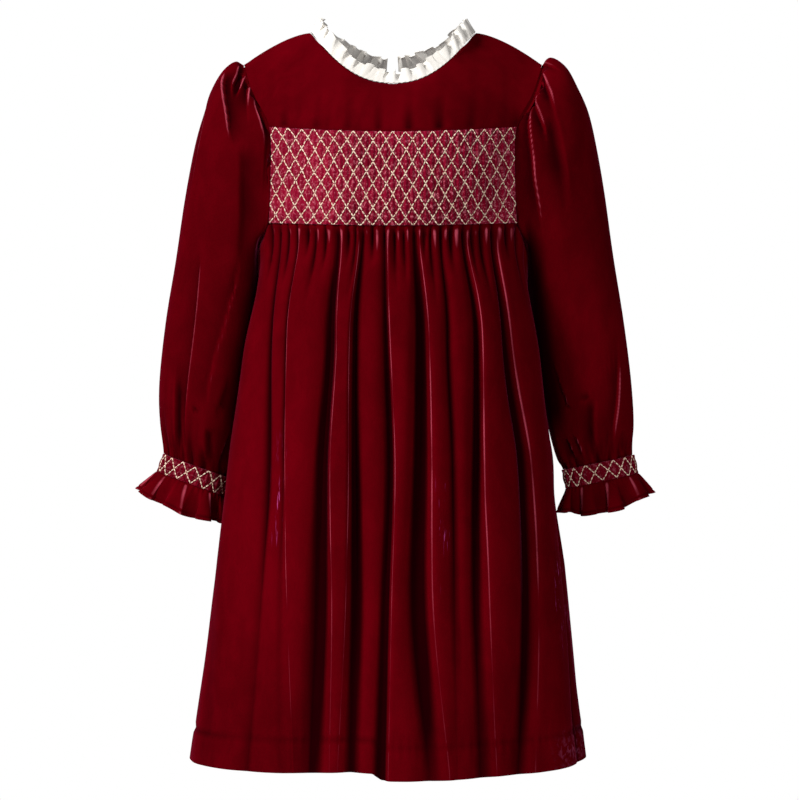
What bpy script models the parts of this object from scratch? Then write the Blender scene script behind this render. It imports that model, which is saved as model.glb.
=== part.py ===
"""A child's long-sleeved velvet dress with a smocked chest, gathered skirt, smocked cuffs and a
white neck frill, standing hollow as if worn. Each cut piece of the garment is one object: a wall
of cloth between an outer and an inner sheet of points.

Every size below is in millimetres and becomes metres as a mesh is made. X runs across the dress,
the front faces -Y, Z is up, and the origin is between the shoulders, level with the neck points,
where the wearer carries the dress. Left and right are the wearer's: left is +X.
"""

import math

import bpy
import numpy as np

MM = 0.001

# Driving sizes of the whole garment
HEM_Z = -651.0  # shoulder at the neck down to the hem
CLOTH = 2.0  # velvet with its lining
FRILL_CLOTH = 1.0  # the white cotton of the neck frill
SEAM_GAP = 0.3
HEM_FOLD = 30.0  # height of the turned-up hem
HEM_CLOTH = 3.0  # its two layers
CURVE_STEPS = 400

# Neckline and shoulders
NECK_HALF = 75.0
NECK_Y = 6.0  # the neck points lie this far behind the middle
NECK_FRONT = (-58.0, -53.0)  # y and z at the centre front
NECK_BACK = (54.0, -30.0)  # y and z at the centre back
NECK_POWER = 2.2  # how squarely the neckline turns
SHOULDER_HALF = 134.0
SHOULDER_DROP = 29.0
SHOULDER_POWER = 1.5
BACK_SLIT_TOP = (-6.0, 5.0)  # x of the two edges of the back opening at the neck
BACK_SLIT_HALF = 0.4  # half its width where it ends

# The armhole, a closed curve through these points: x out from the middle, y, z
ARMHOLE = (
    (134.0, 4.0, -29.0),  # shoulder tip
    (124.5, -27.0, -58.0),
    (109.0, -50.0, -90.0),  # front yoke seam
    (107.5, -55.0, -133.0),
    (109.5, -50.0, -175.0),  # last row of smocking
    (115.5, -28.0, -187.5),
    (119.0, 0.0, -192.0),  # underarm
    (117.5, 20.0, -177.0),
    (114.0, 37.0, -143.0),
    (109.5, 51.0, -105.0),  # back yoke seam
    (121.5, 33.0, -66.0),
)
SHOULDER_TIP, YOKE_CORNER, SMOCK_CORNER, UNDERARM, BACK_CORNER = 0, 2, 4, 6, 9

# Smocked chest panel
CHEST_FRONT = (-92.0, -98.0)  # y and z of the yoke seam at the centre front
WAIST_FRONT = (-97.0, -180.0)  # y and z of the last row of smocking there
CHEST_POWER = 2.3
DIAMONDS_ACROSS = 19
DIAMOND_HALF_ROWS = 9
PUFF = 1.5  # how far each smocked diamond stands proud

# Back yoke seam
BACK_CHEST = (72.0, -108.0)  # y and z at the centre back

# Horizontal sections of the skirt. Half widths are on the wearer's right (-X) and left (+X);
# front and back are measured from centre_y, the depth at which the section is widest.
SECTION_COLUMNS = ("z", "half_right", "half_left", "centre_y", "front", "back")
SECTIONS = (
    (-100.0, 117.0, 117.0, -2.0, 92.0, 75.0),
    (-192.0, 119.0, 119.0, -6.0, 93.0, 85.0),
    (-242.0, 127.0, 127.0, -8.0, 101.0, 92.0),
    (-286.0, 134.5, 134.0, -8.0, 105.0, 97.0),
    (-331.0, 140.5, 139.0, -8.0, 109.0, 102.0),
    (-375.0, 146.0, 145.5, -8.0, 112.0, 106.0),
    (-420.0, 150.5, 149.0, -8.0, 115.0, 110.0),
    (-464.0, 155.5, 152.0, -7.0, 119.0, 113.0),
    (-509.0, 161.0, 156.5, -6.0, 122.0, 116.0),
    (-553.0, 166.0, 161.0, -5.0, 125.0, 118.0),
    (-598.0, 172.0, 165.5, -4.0, 128.0, 120.0),
    (-651.0, 179.0, 171.0, -4.0, 131.0, 123.0),
)
SECTION_POWER = 2.3
ARM_DENT = 12.5  # the hanging sleeves press the skirt in by this much
ARM_DENT_Y = 8.0
ARM_DENT_REACH = 34.0
ARM_DENT_HEIGHTS = (-196.0, -250.0, -410.0, -480.0)

# Long folds of the skirt, one row each. Places are shares of the way from the centre to the side
# seam at the five heights, minus on the wearer's right. Depths and widths, how far a valley dips
# and spreads, are at the first, middle and last height. The left flank spreads by lean times that.
FOLD_HEIGHTS = (-180.0, -279.0, -383.0, -500.0, -651.0)
FOLD_COLUMNS = (
    "top", "high", "middle", "low", "hem",
    "top_depth", "middle_depth", "hem_depth",
    "top_width", "middle_width", "hem_width", "lean",
)
FRONT_FOLDS = (
    (-0.671, -0.660, -0.610, -0.590, -0.620, 3.2, 5.0, 2.5, 3.2, 8.0, 14.0, 1.0),
    (-0.580, -0.548, -0.530, -0.500, -0.480, 3.2, 3.0, 0.5, 3.2, 5.0, 12.0, 1.0),
    (-0.375, -0.330, -0.342, -0.355, -0.370, 3.6, 10.5, 6.0, 3.4, 7.0, 13.0, 0.7),
    (-0.188, -0.182, -0.174, -0.150, -0.172, 3.6, 10.0, 6.0, 3.4, 7.0, 13.0, 0.8),
    (-0.057, -0.020, -0.005, -0.040, -0.052, 3.6, 8.5, 7.5, 3.2, 7.0, 11.0, 0.4),
    (0.148, 0.141, 0.131, 0.095, 0.160, 3.6, 10.0, 4.5, 3.4, 7.0, 14.0, 1.0),
    (0.318, 0.287, 0.292, 0.280, 0.270, 3.4, 6.5, 1.5, 3.2, 6.5, 14.0, 1.0),
    (0.483, 0.436, 0.405, 0.375, 0.385, 3.4, 6.5, 4.0, 3.2, 7.0, 14.0, 1.0),
    (0.620, 0.594, 0.665, 0.675, 0.590, 3.4, 7.0, 4.5, 3.2, 8.0, 16.0, 1.0),
)
BACK_FOLDS = (
    (-0.72, -0.71, -0.70, -0.71, -0.72, 3.0, 5.5, 4.0, 3.4, 9.0, 16.0, 1.0),
    (-0.50, -0.48, -0.47, -0.45, -0.45, 3.2, 8.5, 6.0, 3.4, 8.0, 14.0, 0.8),
    (-0.27, -0.25, -0.24, -0.22, -0.20, 3.2, 9.0, 5.0, 3.4, 8.0, 15.0, 1.0),
    (0.02, 0.04, 0.03, 0.03, 0.05, 3.2, 8.0, 6.5, 3.4, 7.5, 14.0, 0.7),
    (0.28, 0.27, 0.27, 0.29, 0.30, 3.2, 9.5, 5.0, 3.4, 8.0, 15.0, 1.0),
    (0.50, 0.49, 0.50, 0.51, 0.52, 3.2, 7.5, 5.5, 3.4, 8.0, 14.0, 1.0),
    (0.70, 0.73, 0.74, 0.74, 0.74, 3.0, 5.5, 4.0, 3.4, 9.0, 16.0, 1.0),
)
# Short gathers between the long folds, which run out below the seam: where each starts
FRONT_GATHERS = (
    -0.710, -0.625, -0.495, -0.435, -0.318, -0.245, -0.122,
    0.0, 0.068, 0.200, 0.250, 0.375, 0.430, 0.546, 0.683,
)
BACK_GATHERS = (
    -0.645, -0.575, -0.425, -0.345, -0.19, -0.11, 0.10, 0.19, 0.355, 0.43, 0.57, 0.635,
)
PLAIN_PLACES = (-0.87, 0.87)  # columns of points below the armholes, ungathered
GATHER_DEPTH = 2.6
GATHER_WIDTH = 2.8
GATHER_LENGTH = 62.0
GATHER_UNEVEN = 0.35  # how much their lengths differ
HEAD_LENGTH = 9.0  # the folds swell out from the seam over this length
HEAD_SHARE = 0.45  # of their depth that they have at the seam itself
FOLD_SHARPNESS = 1.35
SKIRT_LEVELS = (0.0, 0.022, 0.062, 0.125, 0.215, 0.33, 0.475, 0.64, 0.82, 1.0)
FRONT_COLUMNS = 4  # columns of points from one valley to the next
BACK_COLUMNS = 3

# Sleeve sections: the outer and inner edges as seen from the front, then half depth and centre y
SLEEVE_COLUMNS = ("outer_x", "outer_z", "inner_x", "inner_z", "half_depth", "centre_y")
RIGHT_SLEEVE = (
    (-134.0, -29.0, -119.0, -192.0, 51.0, -2.0),
    (-142.0, -26.0, -122.5, -199.0, 54.0, -1.0),
    (-153.0, -35.0, -123.5, -210.0, 56.0, 1.0),
    (-162.5, -52.0, -123.0, -225.0, 56.0, 3.0),
    (-170.5, -75.0, -122.5, -243.0, 54.0, 5.0),
    (-178.5, -105.0, -123.0, -262.0, 51.0, 7.0),
    (-186.5, -148.0, -125.0, -284.0, 48.0, 9.0),
    (-194.5, -202.0, -128.5, -311.0, 45.0, 10.0),
    (-204.0, -258.0, -133.0, -338.0, 43.0, 10.0),
    (-210.5, -314.0, -138.0, -366.0, 40.0, 9.0),
    (-211.0, -351.0, -142.5, -388.0, 32.0, 8.0),
    (-207.5, -379.0, -145.5, -401.5, 18.0, 8.0),
)
LEFT_SLEEVE = (
    (134.0, -29.0, 119.0, -192.0, 51.0, -2.0),
    (142.0, -23.0, 122.5, -199.0, 54.0, -1.0),
    (155.0, -32.0, 123.5, -210.0, 56.0, 1.0),
    (165.0, -50.0, 123.0, -225.0, 56.0, 3.0),
    (175.0, -73.0, 123.0, -243.0, 54.0, 5.0),
    (182.5, -104.0, 124.0, -262.0, 51.0, 7.0),
    (190.0, -145.0, 127.0, -284.0, 48.0, 9.0),
    (198.0, -200.0, 131.0, -311.0, 45.0, 10.0),
    (207.5, -258.0, 136.0, -338.0, 43.0, 10.0),
    (215.0, -314.0, 142.0, -366.0, 40.0, 9.0),
    (218.5, -352.0, 147.5, -385.0, 32.0, 8.0),
    (218.0, -380.0, 152.0, -394.0, 18.0, 8.0),
)
CAP_FADE_ROWS = 4  # the sleeve leaves the armhole's own shape over this many sections
CAP_HALF_ANGLE = 75.0  # degrees each side of the shoulder that are gathered
CAP_GATHERS = 14
UNDERARM_GATHERS = 7  # gathers on the rest of the way round, at the wrist only
CAP_DEPTHS = (1.0, 3.6, 4.4, 4.2, 3.4, 2.4, 1.4, 0.6, 0.0, 0.0, 0.0, 0.0)
WRIST_DEPTHS = (0.0, 0.0, 0.0, 0.0, 0.0, 0.0, 0.0, 0.0, 0.4, 1.8, 3.6, 1.6)
SLEEVE_SEAM_GAP = 0.6

# Cuffs
CUFF_HEIGHT = 17.0
CUFF_DIAMONDS = 16
CUFF_PUFF = 1.2
CUFF_FRILL = 27.0
CUFF_FRILL_LIFT = 7.0  # the flared ends hang this much less
CUFF_FRILL_FLARE = (9.0, 17.0)  # growth of the half width and half depth
CUFF_FRILL_WAVES = 9
CUFF_FRILL_WAVE = 4.5
CUFF_FRILL_LEVELS = (0.0, 0.3, 0.65, 1.0)

# Neck frill
NECK_FRILL = 16.0
NECK_FRILL_UP = 0.80  # direction in which it stands: this much up
NECK_FRILL_IN = 0.60  # and this much towards the neck's middle
NECK_FRILL_WAVES = 30
NECK_FRILL_WAVE = 3.2
NECK_FRILL_LEVELS = (0.0, 0.45, 1.0)
NECK_FRILL_GAP = 1.2

# Back fastening
BUTTON_RADIUS = 4.5
BUTTON_THICK = 2.8
BUTTON_PROFILE = ((0.80, 0.0), (1.0, 0.3), (1.0, 0.6), (0.75, 1.0))  # shares of radius and thickness
BUTTON_SIDES = 16
BUTTON_GAP = 0.5
BUTTON_X = -13.0
BUTTON_ROWS_DOWN = 1  # rows of the yoke's points below the neckline
LOOP_THICK = 1.4
LOOP_SIDES = 6
LOOP_BENDS = 9
LOOP_CLEARANCE = 0.4
LOOP_REACH = 22.0  # from the button's middle to where the cord is sewn on
LOOP_LIFT = 0.3

# Colours: base colour, roughness
VELVET = ((0.30, 0.004, 0.022), 0.85)
FRILL_WHITE = ((0.86, 0.83, 0.79), 0.75)
BUTTON_RED = ((0.22, 0.01, 0.03), 0.35)


def through(places, values, at):
    """A smooth curve through values given at rising places, read at the places asked for."""
    places, values = np.asarray(places, float), np.asarray(values, float)
    at = np.asarray(at, float)
    slopes = np.gradient(values, places, axis=0)
    k = np.clip(np.searchsorted(places, at, side="right") - 1, 0, len(places) - 2)
    step = places[k + 1] - places[k]
    t = np.clip((at - places[k]) / step, 0, 1)
    if values.ndim > 1:
        t, step = t[..., None], step[..., None]
    h00 = (1 + 2 * t) * (1 - t) ** 2
    h01 = t * t * (3 - 2 * t)
    h10 = t * (1 - t) ** 2 * step
    h11 = -t * t * (1 - t) * step
    return h00 * values[k] + h01 * values[k + 1] + h10 * slopes[k] + h11 * slopes[k + 1]


def ease(low, high, at):
    """0 at low, 1 at high, with a soft start and end."""
    t = np.clip((np.asarray(at, float) - low) / (high - low), 0, 1)
    return t * t * (3 - 2 * t)


def unit(vectors):
    return vectors / np.linalg.norm(vectors, axis=-1, keepdims=True)


def armhole(at, side):
    """Points of the armhole curve at the places asked for, which count the rows of ARMHOLE."""
    n = len(ARMHOLE)
    loop = [ARMHOLE[k % n] for k in range(-2, n + 3)]
    points = through(range(-2, n + 3), loop, at)
    return points * (side, 1, 1)


def neckline(x, back):
    """The neck seam above the places x, on the front or the back."""
    y_mid, z_mid = NECK_BACK if back else NECK_FRONT
    share = np.clip(np.abs(x) / NECK_HALF, 0, 1)
    y = NECK_Y + (y_mid - NECK_Y) * np.sqrt(np.clip(1 - share**2, 0, 1))
    z = z_mid * (1 - share**NECK_POWER)
    return np.stack([x, y, z], -1)


def shoulder(x):
    """The shoulder seam above the places x, from the neck point to the armhole."""
    share = (np.abs(x) - NECK_HALF) / (SHOULDER_HALF - NECK_HALF)
    y = NECK_Y + (ARMHOLE[SHOULDER_TIP][1] - NECK_Y) * share
    return np.stack([x, y, -SHOULDER_DROP * np.clip(share, 0, 1) ** SHOULDER_POWER], -1)


def seam_across(middle, corner, share):
    """A level seam over the chest or back, from corner to corner, at shares -1 to 1."""
    out = np.abs(share)
    x = corner[0] * share
    y = middle[0] + (corner[1] - middle[0]) * out**CHEST_POWER
    z = middle[1] + (corner[2] - middle[1]) * out**2
    return np.stack([x, y, z], -1)


def coons(bottom, top, left, right):
    """A patch of points, rows from bottom to top, that fills four edges which share corners."""
    u = np.linspace(0, 1, len(bottom))[None, :, None]
    v = np.linspace(0, 1, len(left))[:, None, None]
    across = (1 - v) * bottom[None] + v * top[None]
    along = (1 - u) * left[:, None] + u * right[:, None]
    corners = (1 - v) * ((1 - u) * bottom[0] + u * bottom[-1]) + v * ((1 - u) * top[0] + u * top[-1])
    return across + along - corners


def sheet_normals(points):
    """Unit normals of a sheet of points, on the side that sees its columns run left to right."""
    return unit(np.cross(np.gradient(points, axis=1), np.gradient(points, axis=0)))


def share_to_angle(share):
    """The angle round a section, 0 at the front and a right angle at the side seam, at which the
    arc has run that share of the way. One middling section serves for all."""
    width, depth = 150.0, 112.0
    angle = np.linspace(0, math.pi / 2, CURVE_STEPS)
    radius = superellipse(angle, width, depth)
    steps = np.hypot(np.diff(radius * np.sin(angle)), np.diff(radius * np.cos(angle)))
    arc = np.concatenate([[0], np.cumsum(steps)])
    return np.sign(share) * np.interp(np.abs(share), arc / arc[-1], angle)


def superellipse(angle, width, depth):
    across = np.abs(np.sin(angle)) / width
    along = np.abs(np.cos(angle)) / depth
    return (across**SECTION_POWER + along**SECTION_POWER) ** (-1 / SECTION_POWER)


def skirt_form(z, share, back):
    """The smooth outer form of the skirt at heights z and shares of the way to the side seam."""
    rows = np.array(SECTIONS)[::-1]
    column = {c: through(rows[:, 0], rows[:, k], z) for k, c in enumerate(SECTION_COLUMNS)}
    angle = share_to_angle(share)
    width = np.where(share < 0, column["half_right"], column["half_left"])
    depth = column["back"] if back else column["front"]
    radius = superellipse(angle, width, depth)
    x = radius * np.sin(angle)
    y = column["centre_y"] + radius * np.cos(angle) * (1 if back else -1)
    top, full, until, end = ARM_DENT_HEIGHTS
    pressed = ease(top, full, z) * (1 - ease(until, end, z))
    beside = np.exp(-(((y - ARM_DENT_Y) / ARM_DENT_REACH) ** 2)) * ease(0.6, 0.95, np.abs(x) / width)
    return np.stack([x - np.sign(x) * ARM_DENT * pressed * beside, y, z], -1)


def fold_places(folds, gathers):
    """Every valley's share at the five heights: the long folds, and the short gathers spaced
    between them, from seam to seam."""
    heights = len(FOLD_HEIGHTS)
    long = np.array([[-1.0] * heights, *[row[:heights] for row in folds], [1.0] * heights])
    short = [[np.interp(g, long[:, 0], long[:, k]) for k in range(heights)] for g in gathers]
    return np.array(sorted([*long.tolist(), *short]))


def at_height(values, z):
    """Values given at the five heights, or at the first, middle and last, read at height z."""
    heights = FOLD_HEIGHTS if len(values) == len(FOLD_HEIGHTS) else FOLD_HEIGHTS[::2]
    return through(heights[::-1], values[::-1], z)


def fold_relief(share, z, edge_z, folds, gathers, half_arc):
    """How far the cloth dips below its smooth form."""
    dip = np.zeros_like(share)
    below = edge_z - z
    head = HEAD_SHARE + (1 - HEAD_SHARE) * ease(0, HEAD_LENGTH, below)
    n = len(FOLD_HEIGHTS)
    for row in folds:
        place = at_height(row[:n], z)
        depth, width = at_height(row[n : n + 3], z), at_height(row[n + 3 : n + 6], z)
        off = share - place
        away = np.abs(off) * half_arc / (width * np.where(off > 0, row[-1], 1.0))
        dip += head * depth * np.exp(-(away**FOLD_SHARPNESS))
    places = fold_places(folds, gathers)
    for k, gather in enumerate(gathers):
        row = places[np.argmin(np.abs(places[:, 0] - gather))]
        length = GATHER_LENGTH * (1 + GATHER_UNEVEN * math.sin(2.4 * k))
        depth = GATHER_DEPTH * head * (1 - ease(0.25 * length, length, below))
        width = GATHER_WIDTH * (1 + below / length)
        away = np.abs(share - at_height(row, z)) * half_arc / width
        dip += depth * np.exp(-(away**FOLD_SHARPNESS))
    return dip


def skirt_columns(folds, gathers, a_gather):
    """Shares at the five heights of columns that follow the folds down the cloth."""
    places = fold_places(folds, gathers + PLAIN_PLACES)
    valleys = np.arange(len(places))
    index = np.linspace(0, len(places) - 1, (len(places) - 1) * a_gather + 1)
    return np.stack([np.interp(index, valleys, places[:, k]) for k in range(places.shape[1])], -1)


def skirt_top(share, back):
    """The upper edge of a skirt: the chest or back yoke seam, then the armhole to the underarm."""
    side = np.sign(share)
    out = np.abs(share)
    corner_share = 0.76 if back else 0.72
    start, end = (BACK_CORNER, UNDERARM) if back else (SMOCK_CORNER, UNDERARM)
    corner = np.array(ARMHOLE[start])
    middle = BACK_CHEST if back else WAIST_FRONT
    inner = seam_across(middle, corner, share / corner_share)
    along = start + (end - start) * (out - corner_share) / (1 - corner_share)
    outer = armhole(np.clip(along, min(start, end), max(start, end)), 1.0)
    outer[..., 0] *= side
    return np.where((out < corner_share)[..., None], inner, outer)


def flattened(normals, axis):
    """Normals turned at right angles to an axis, so that walls meet squarely at a seam."""
    turned = normals.copy()
    turned[..., axis] = 0
    return unit(turned)


def skirt_sheets(folds, gathers, levels, back, a_gather):
    """The outer and inner sheets of the front or back of the skirt."""
    columns = skirt_columns(folds, gathers, a_gather)
    edge = skirt_top(columns[:, 0], back)
    level = np.asarray(levels)[:, None]
    z = edge[None, :, 2] * (1 - level) + HEM_Z * level
    share = np.stack([at_height(row, z[:, k]) for k, row in enumerate(columns)], -1)
    form = skirt_form(z, share, back)
    start = skirt_form(edge[None, :, 2], columns[None, :, 0], back)
    form = form + (edge[None] - start) * (1 - ease(0, 0.2, level))[..., None]
    normal = sheet_normals(form[::-1])[::-1] * (-1 if back else 1)
    normal[0] = flattened(normal[0], 2)
    normal[:, [0, -1]] = flattened(normal[:, [0, -1]], 1)
    half_arc = 0.5 * np.linalg.norm(np.diff(form, axis=1), axis=-1).sum(1)[:, None]
    dip = fold_relief(share, z, edge[None, :, 2], folds, gathers, half_arc)
    dip *= 1 - ease(0.93, 1.0, np.abs(share))
    outer = form - normal * dip[..., None]
    cloth = np.where(z < HEM_Z + HEM_FOLD, HEM_CLOTH, CLOTH)[..., None]
    inner = outer - normal * cloth
    for sheet in (outer, inner):
        sheet[0, :, 2] -= SEAM_GAP / 2
        sheet[:, [0, -1], 1] += SEAM_GAP / 2 * (1 if back else -1)
    return outer, inner


def yoke_sheets(across, rows, back, span=(-1.0, 1.0)):
    """The outer and inner sheets of a yoke, from its seam up to the shoulders and neck."""
    corner = np.array(ARMHOLE[BACK_CORNER if back else YOKE_CORNER])
    neck_share = 0.6
    columns = np.linspace(*span, across + 1)
    nearest = [np.argmin(np.abs(columns - s)) for s in (-neck_share, neck_share)]
    for k, s in zip(nearest, (-neck_share, neck_share)):
        if abs(columns[k] - s) < (span[1] - span[0]) / across:
            columns[k] = s
    bottom = seam_across(BACK_CHEST if back else CHEST_FRONT, corner, columns)
    out = np.abs(columns)
    on_neck = out <= neck_share + 1e-9
    neck_x = np.sign(columns) * NECK_HALF * out / neck_share
    tip_x = SHOULDER_HALF - NECK_HALF
    shoulder_x = np.sign(columns) * (NECK_HALF + tip_x * (out - neck_share) / (1 - neck_share))
    top = np.where(on_neck[:, None], neckline(neck_x, back), shoulder(shoulder_x))
    start, end = (BACK_CORNER, len(ARMHOLE)) if back else (YOKE_CORNER, SHOULDER_TIP)
    places = np.linspace(start, end, rows + 1)
    sides = []
    for k in (0, -1):
        if out[k] > 0.999:
            sides.append(armhole(places, np.sign(columns[k])))
        else:
            sides.append(np.linspace(bottom[k], top[k], rows + 1))
    patch = coons(bottom, top, *sides)
    v = np.linspace(0, 1, rows + 1)[:, None]
    bulge = 6.0 * np.sin(math.pi * v) * (1 - columns[None] ** 2)
    patch[..., 1] += bulge * (1 if back else -1)
    normal = sheet_normals(patch) * (-1 if back else 1)
    normal[0] = flattened(normal[0], 2)
    shoulder_columns = out > neck_share - 1e-9
    normal[-1, shoulder_columns] = flattened(normal[-1, shoulder_columns], 1)
    outer = patch.copy()
    inner = patch - normal * CLOTH
    for sheet in (outer, inner):
        sheet[0, :, 2] += SEAM_GAP / 2
        sheet[-1, shoulder_columns, 1] += SEAM_GAP * (0.5 if back else -0.5)
    return outer, inner


def open_back_slit(sheets, side):
    """Moves the centre edge of a back yoke half out to the edge of the back opening."""
    edge = 0 if side > 0 else -1
    top_x = BACK_SLIT_TOP[1] if side > 0 else BACK_SLIT_TOP[0]
    for sheet in sheets:
        rows = len(sheet)
        v = np.linspace(0, 1, rows)[:, None]
        slit = side * BACK_SLIT_HALF + (top_x - side * BACK_SLIT_HALF) * v**1.5
        near = np.clip(1 - np.abs(sheet[..., 0]) / 40.0, 0, 1)
        sheet[..., 0] += slit * near
        sheet[:, edge, 0] = slit[:, 0]


def diamond_puff(rows, columns, height):
    """Relief of smocking on a grid of half diamonds: every second point stands proud."""
    j, i = np.meshgrid(np.arange(rows), np.arange(columns), indexing="ij")
    puff = height * ((i + j) % 2)
    return puff


def smocked_panel_sheets():
    columns = DIAMONDS_ACROSS * 2 + 1
    rows = DIAMOND_HALF_ROWS + 1
    share = np.linspace(-1, 1, columns)
    low = seam_across(WAIST_FRONT, np.array(ARMHOLE[SMOCK_CORNER]), share)
    high = seam_across(CHEST_FRONT, np.array(ARMHOLE[YOKE_CORNER]), share)
    places = np.linspace(SMOCK_CORNER, YOKE_CORNER, rows)
    patch = coons(low, high, armhole(places, -1.0), armhole(places, 1.0))
    normal = sheet_normals(patch)
    normal[[0, -1]] = flattened(normal[[0, -1]], 2)
    puff = diamond_puff(rows, columns, PUFF)
    puff[[0, -1]] = 0
    puff[:, [0, -1]] = 0
    outer = patch + normal * puff[..., None]
    inner = patch - normal * CLOTH
    for sheet in (outer, inner):
        sheet[0, :, 2] += SEAM_GAP / 2
        sheet[-1, :, 2] -= SEAM_GAP / 2
    return outer, inner


def sleeve_angles():
    """Angles round a sleeve, from the shoulder towards the front, with every second one a valley."""
    cap = math.radians(CAP_HALF_ANGLE)
    over = np.linspace(-cap, cap, 2 * CAP_GATHERS + 1)
    under = np.linspace(cap, 2 * math.pi - cap, 2 * UNDERARM_GATHERS + 1)
    return np.concatenate([over, under[1:-1]])


def ring(section, angle):
    """The points of an elliptical section at the angles asked for, and their outward normals."""
    outer_x, outer_z, inner_x, inner_z, half_depth, centre_y = section
    across = np.array([outer_x - inner_x, 0, outer_z - inner_z]) / 2
    centre = np.array([(outer_x + inner_x) / 2, centre_y, (outer_z + inner_z) / 2])
    half_width = np.linalg.norm(across)
    e2 = across / half_width
    forward = np.array([0, -1.0, 0])
    c, s = np.cos(angle)[:, None], np.sin(angle)[:, None]
    points = centre + e2 * half_width * c + forward * half_depth * s
    normals = unit(e2 * half_depth * c + forward * half_width * s)
    return points, normals


def armhole_at_angles(section, angle, side):
    """Points of the armhole curve that lie at these angles of the sleeve's first section."""
    places = np.linspace(0, len(ARMHOLE), CURVE_STEPS)
    curve = armhole(places, side)
    outer_x, outer_z, inner_x, inner_z, half_depth, centre_y = section
    across = np.array([outer_x - inner_x, outer_z - inner_z])
    half_width = np.linalg.norm(across) / 2
    e2 = across / np.linalg.norm(across)
    centre = np.array([(outer_x + inner_x) / 2, (outer_z + inner_z) / 2])
    along = ((curve[:, [0, 2]] - centre) @ e2) / half_width
    forward = -(curve[:, 1] - centre_y) / half_depth
    around = np.unwrap(np.arctan2(forward, along))
    around -= around[0]
    return armhole(np.interp(np.mod(angle, 2 * math.pi), around, places), side)


def sleeve_sheets(sections, side):
    angle = sleeve_angles()
    valley = (np.arange(len(angle)) % 2).astype(float)
    cap = ease(0, 0.35, math.radians(CAP_HALF_ANGLE) - np.abs(angle))
    first, _ = ring(sections[0], angle)
    shift = armhole_at_angles(sections[0], angle, side) - first
    smooth = []
    for k, section in enumerate(sections):
        points, _ = ring(section, angle)
        smooth.append(points + shift * (1 - ease(0, CAP_FADE_ROWS, k)))
    smooth = np.array(smooth)
    around = np.roll(smooth, -1, axis=1) - np.roll(smooth, 1, axis=1)
    normal = unit(np.cross(around, np.gradient(smooth, axis=0))) * side
    normal[-1] = ring(sections[-1], angle)[1]
    depth = np.outer(CAP_DEPTHS, cap) + np.array(WRIST_DEPTHS)[:, None]
    outer = smooth - normal * (valley * depth)[..., None]
    inner = outer - normal * CLOTH
    for sheet in (outer, inner):
        sheet[0, :, 0] += side * SLEEVE_SEAM_GAP
    return outer, inner


def cuff_frame(section):
    """The wrist end of a sleeve: centre, unit vector across, half width, half depth and the
    direction in which the cuff runs on."""
    outer_x, outer_z, inner_x, inner_z, half_depth, centre_y = section
    across = np.array([outer_x - inner_x, 0, outer_z - inner_z]) / 2
    half_width = np.linalg.norm(across)
    e2 = across / half_width
    on = np.array([e2[2], 0, -e2[0]])
    on *= -np.sign(on[2])
    centre = np.array([(outer_x + inner_x) / 2, centre_y, (outer_z + inner_z) / 2])
    return centre, e2, half_width, half_depth, on


def tube_ring(frame, angle, along, grow=(0.0, 0.0)):
    centre, e2, half_width, half_depth, on = frame
    a, b = half_width + grow[0], half_depth + grow[1]
    c, s = np.cos(angle)[:, None], np.sin(angle)[:, None]
    forward = np.array([0, -1.0, 0])
    along = np.broadcast_to(along, angle.shape)[:, None]
    points = centre + on * along + e2 * a * c + forward * b * s
    return points, unit(e2 * b * c + forward * a * s)


def cuff_sheets(section):
    frame = cuff_frame(section)
    columns = CUFF_DIAMONDS * 2
    angle = np.linspace(0, 2 * math.pi, columns, endpoint=False)
    puff = diamond_puff(3, columns, CUFF_PUFF)
    outer, inner = [], []
    for row, along in enumerate(np.linspace(SEAM_GAP, CUFF_HEIGHT, 3)):
        points, normals = tube_ring(frame, angle, along)
        outer.append(points + normals * (puff[row][:, None] - CUFF_PUFF))
        inner.append(points - normals * (CLOTH + CUFF_PUFF))
    return np.array(outer), np.array(inner)


def cuff_frill_sheets(section):
    frame = cuff_frame(section)
    angle = np.linspace(0, 2 * math.pi, CUFF_FRILL_WAVES * 4, endpoint=False)
    outer, inner = [], []
    for level in CUFF_FRILL_LEVELS:
        reach = CUFF_FRILL - CUFF_FRILL_LIFT * np.cos(angle) ** 2
        along = CUFF_HEIGHT + SEAM_GAP + reach * level
        spread = level**0.8
        grow = (CUFF_FRILL_FLARE[0] * spread, CUFF_FRILL_FLARE[1] * spread)
        points, normals = tube_ring(frame, angle, along, grow)
        wave = np.cos(CUFF_FRILL_WAVES * angle) * CUFF_FRILL_WAVE * level
        points = points + normals * (wave - 0.6)[:, None]
        outer.append(points)
        inner.append(points - normals * CLOTH)
    return np.array(outer), np.array(inner)


def neck_loop(count):
    """Points round the neck seam from the back opening's one edge, round the front, to the
    other, evenly spaced along the seam."""
    start, end = BACK_SLIT_TOP
    turn = np.linspace(0, 1, CURVE_STEPS)
    back_one = neckline(start - (start + NECK_HALF) * np.sin(turn * math.pi / 2), True)
    front = neckline(-NECK_HALF * np.cos(turn * math.pi), False)
    back_two = neckline(NECK_HALF - (NECK_HALF - end) * (1 - np.cos(turn * math.pi / 2)), True)
    curve = np.concatenate([back_one, front[1:], back_two[1:]])
    arc = np.concatenate([[0], np.cumsum(np.linalg.norm(np.diff(curve, axis=0), axis=1))])
    at = np.linspace(0, arc[-1], count)
    return np.stack([np.interp(at, arc, curve[:, k]) for k in range(3)], -1)


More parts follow.
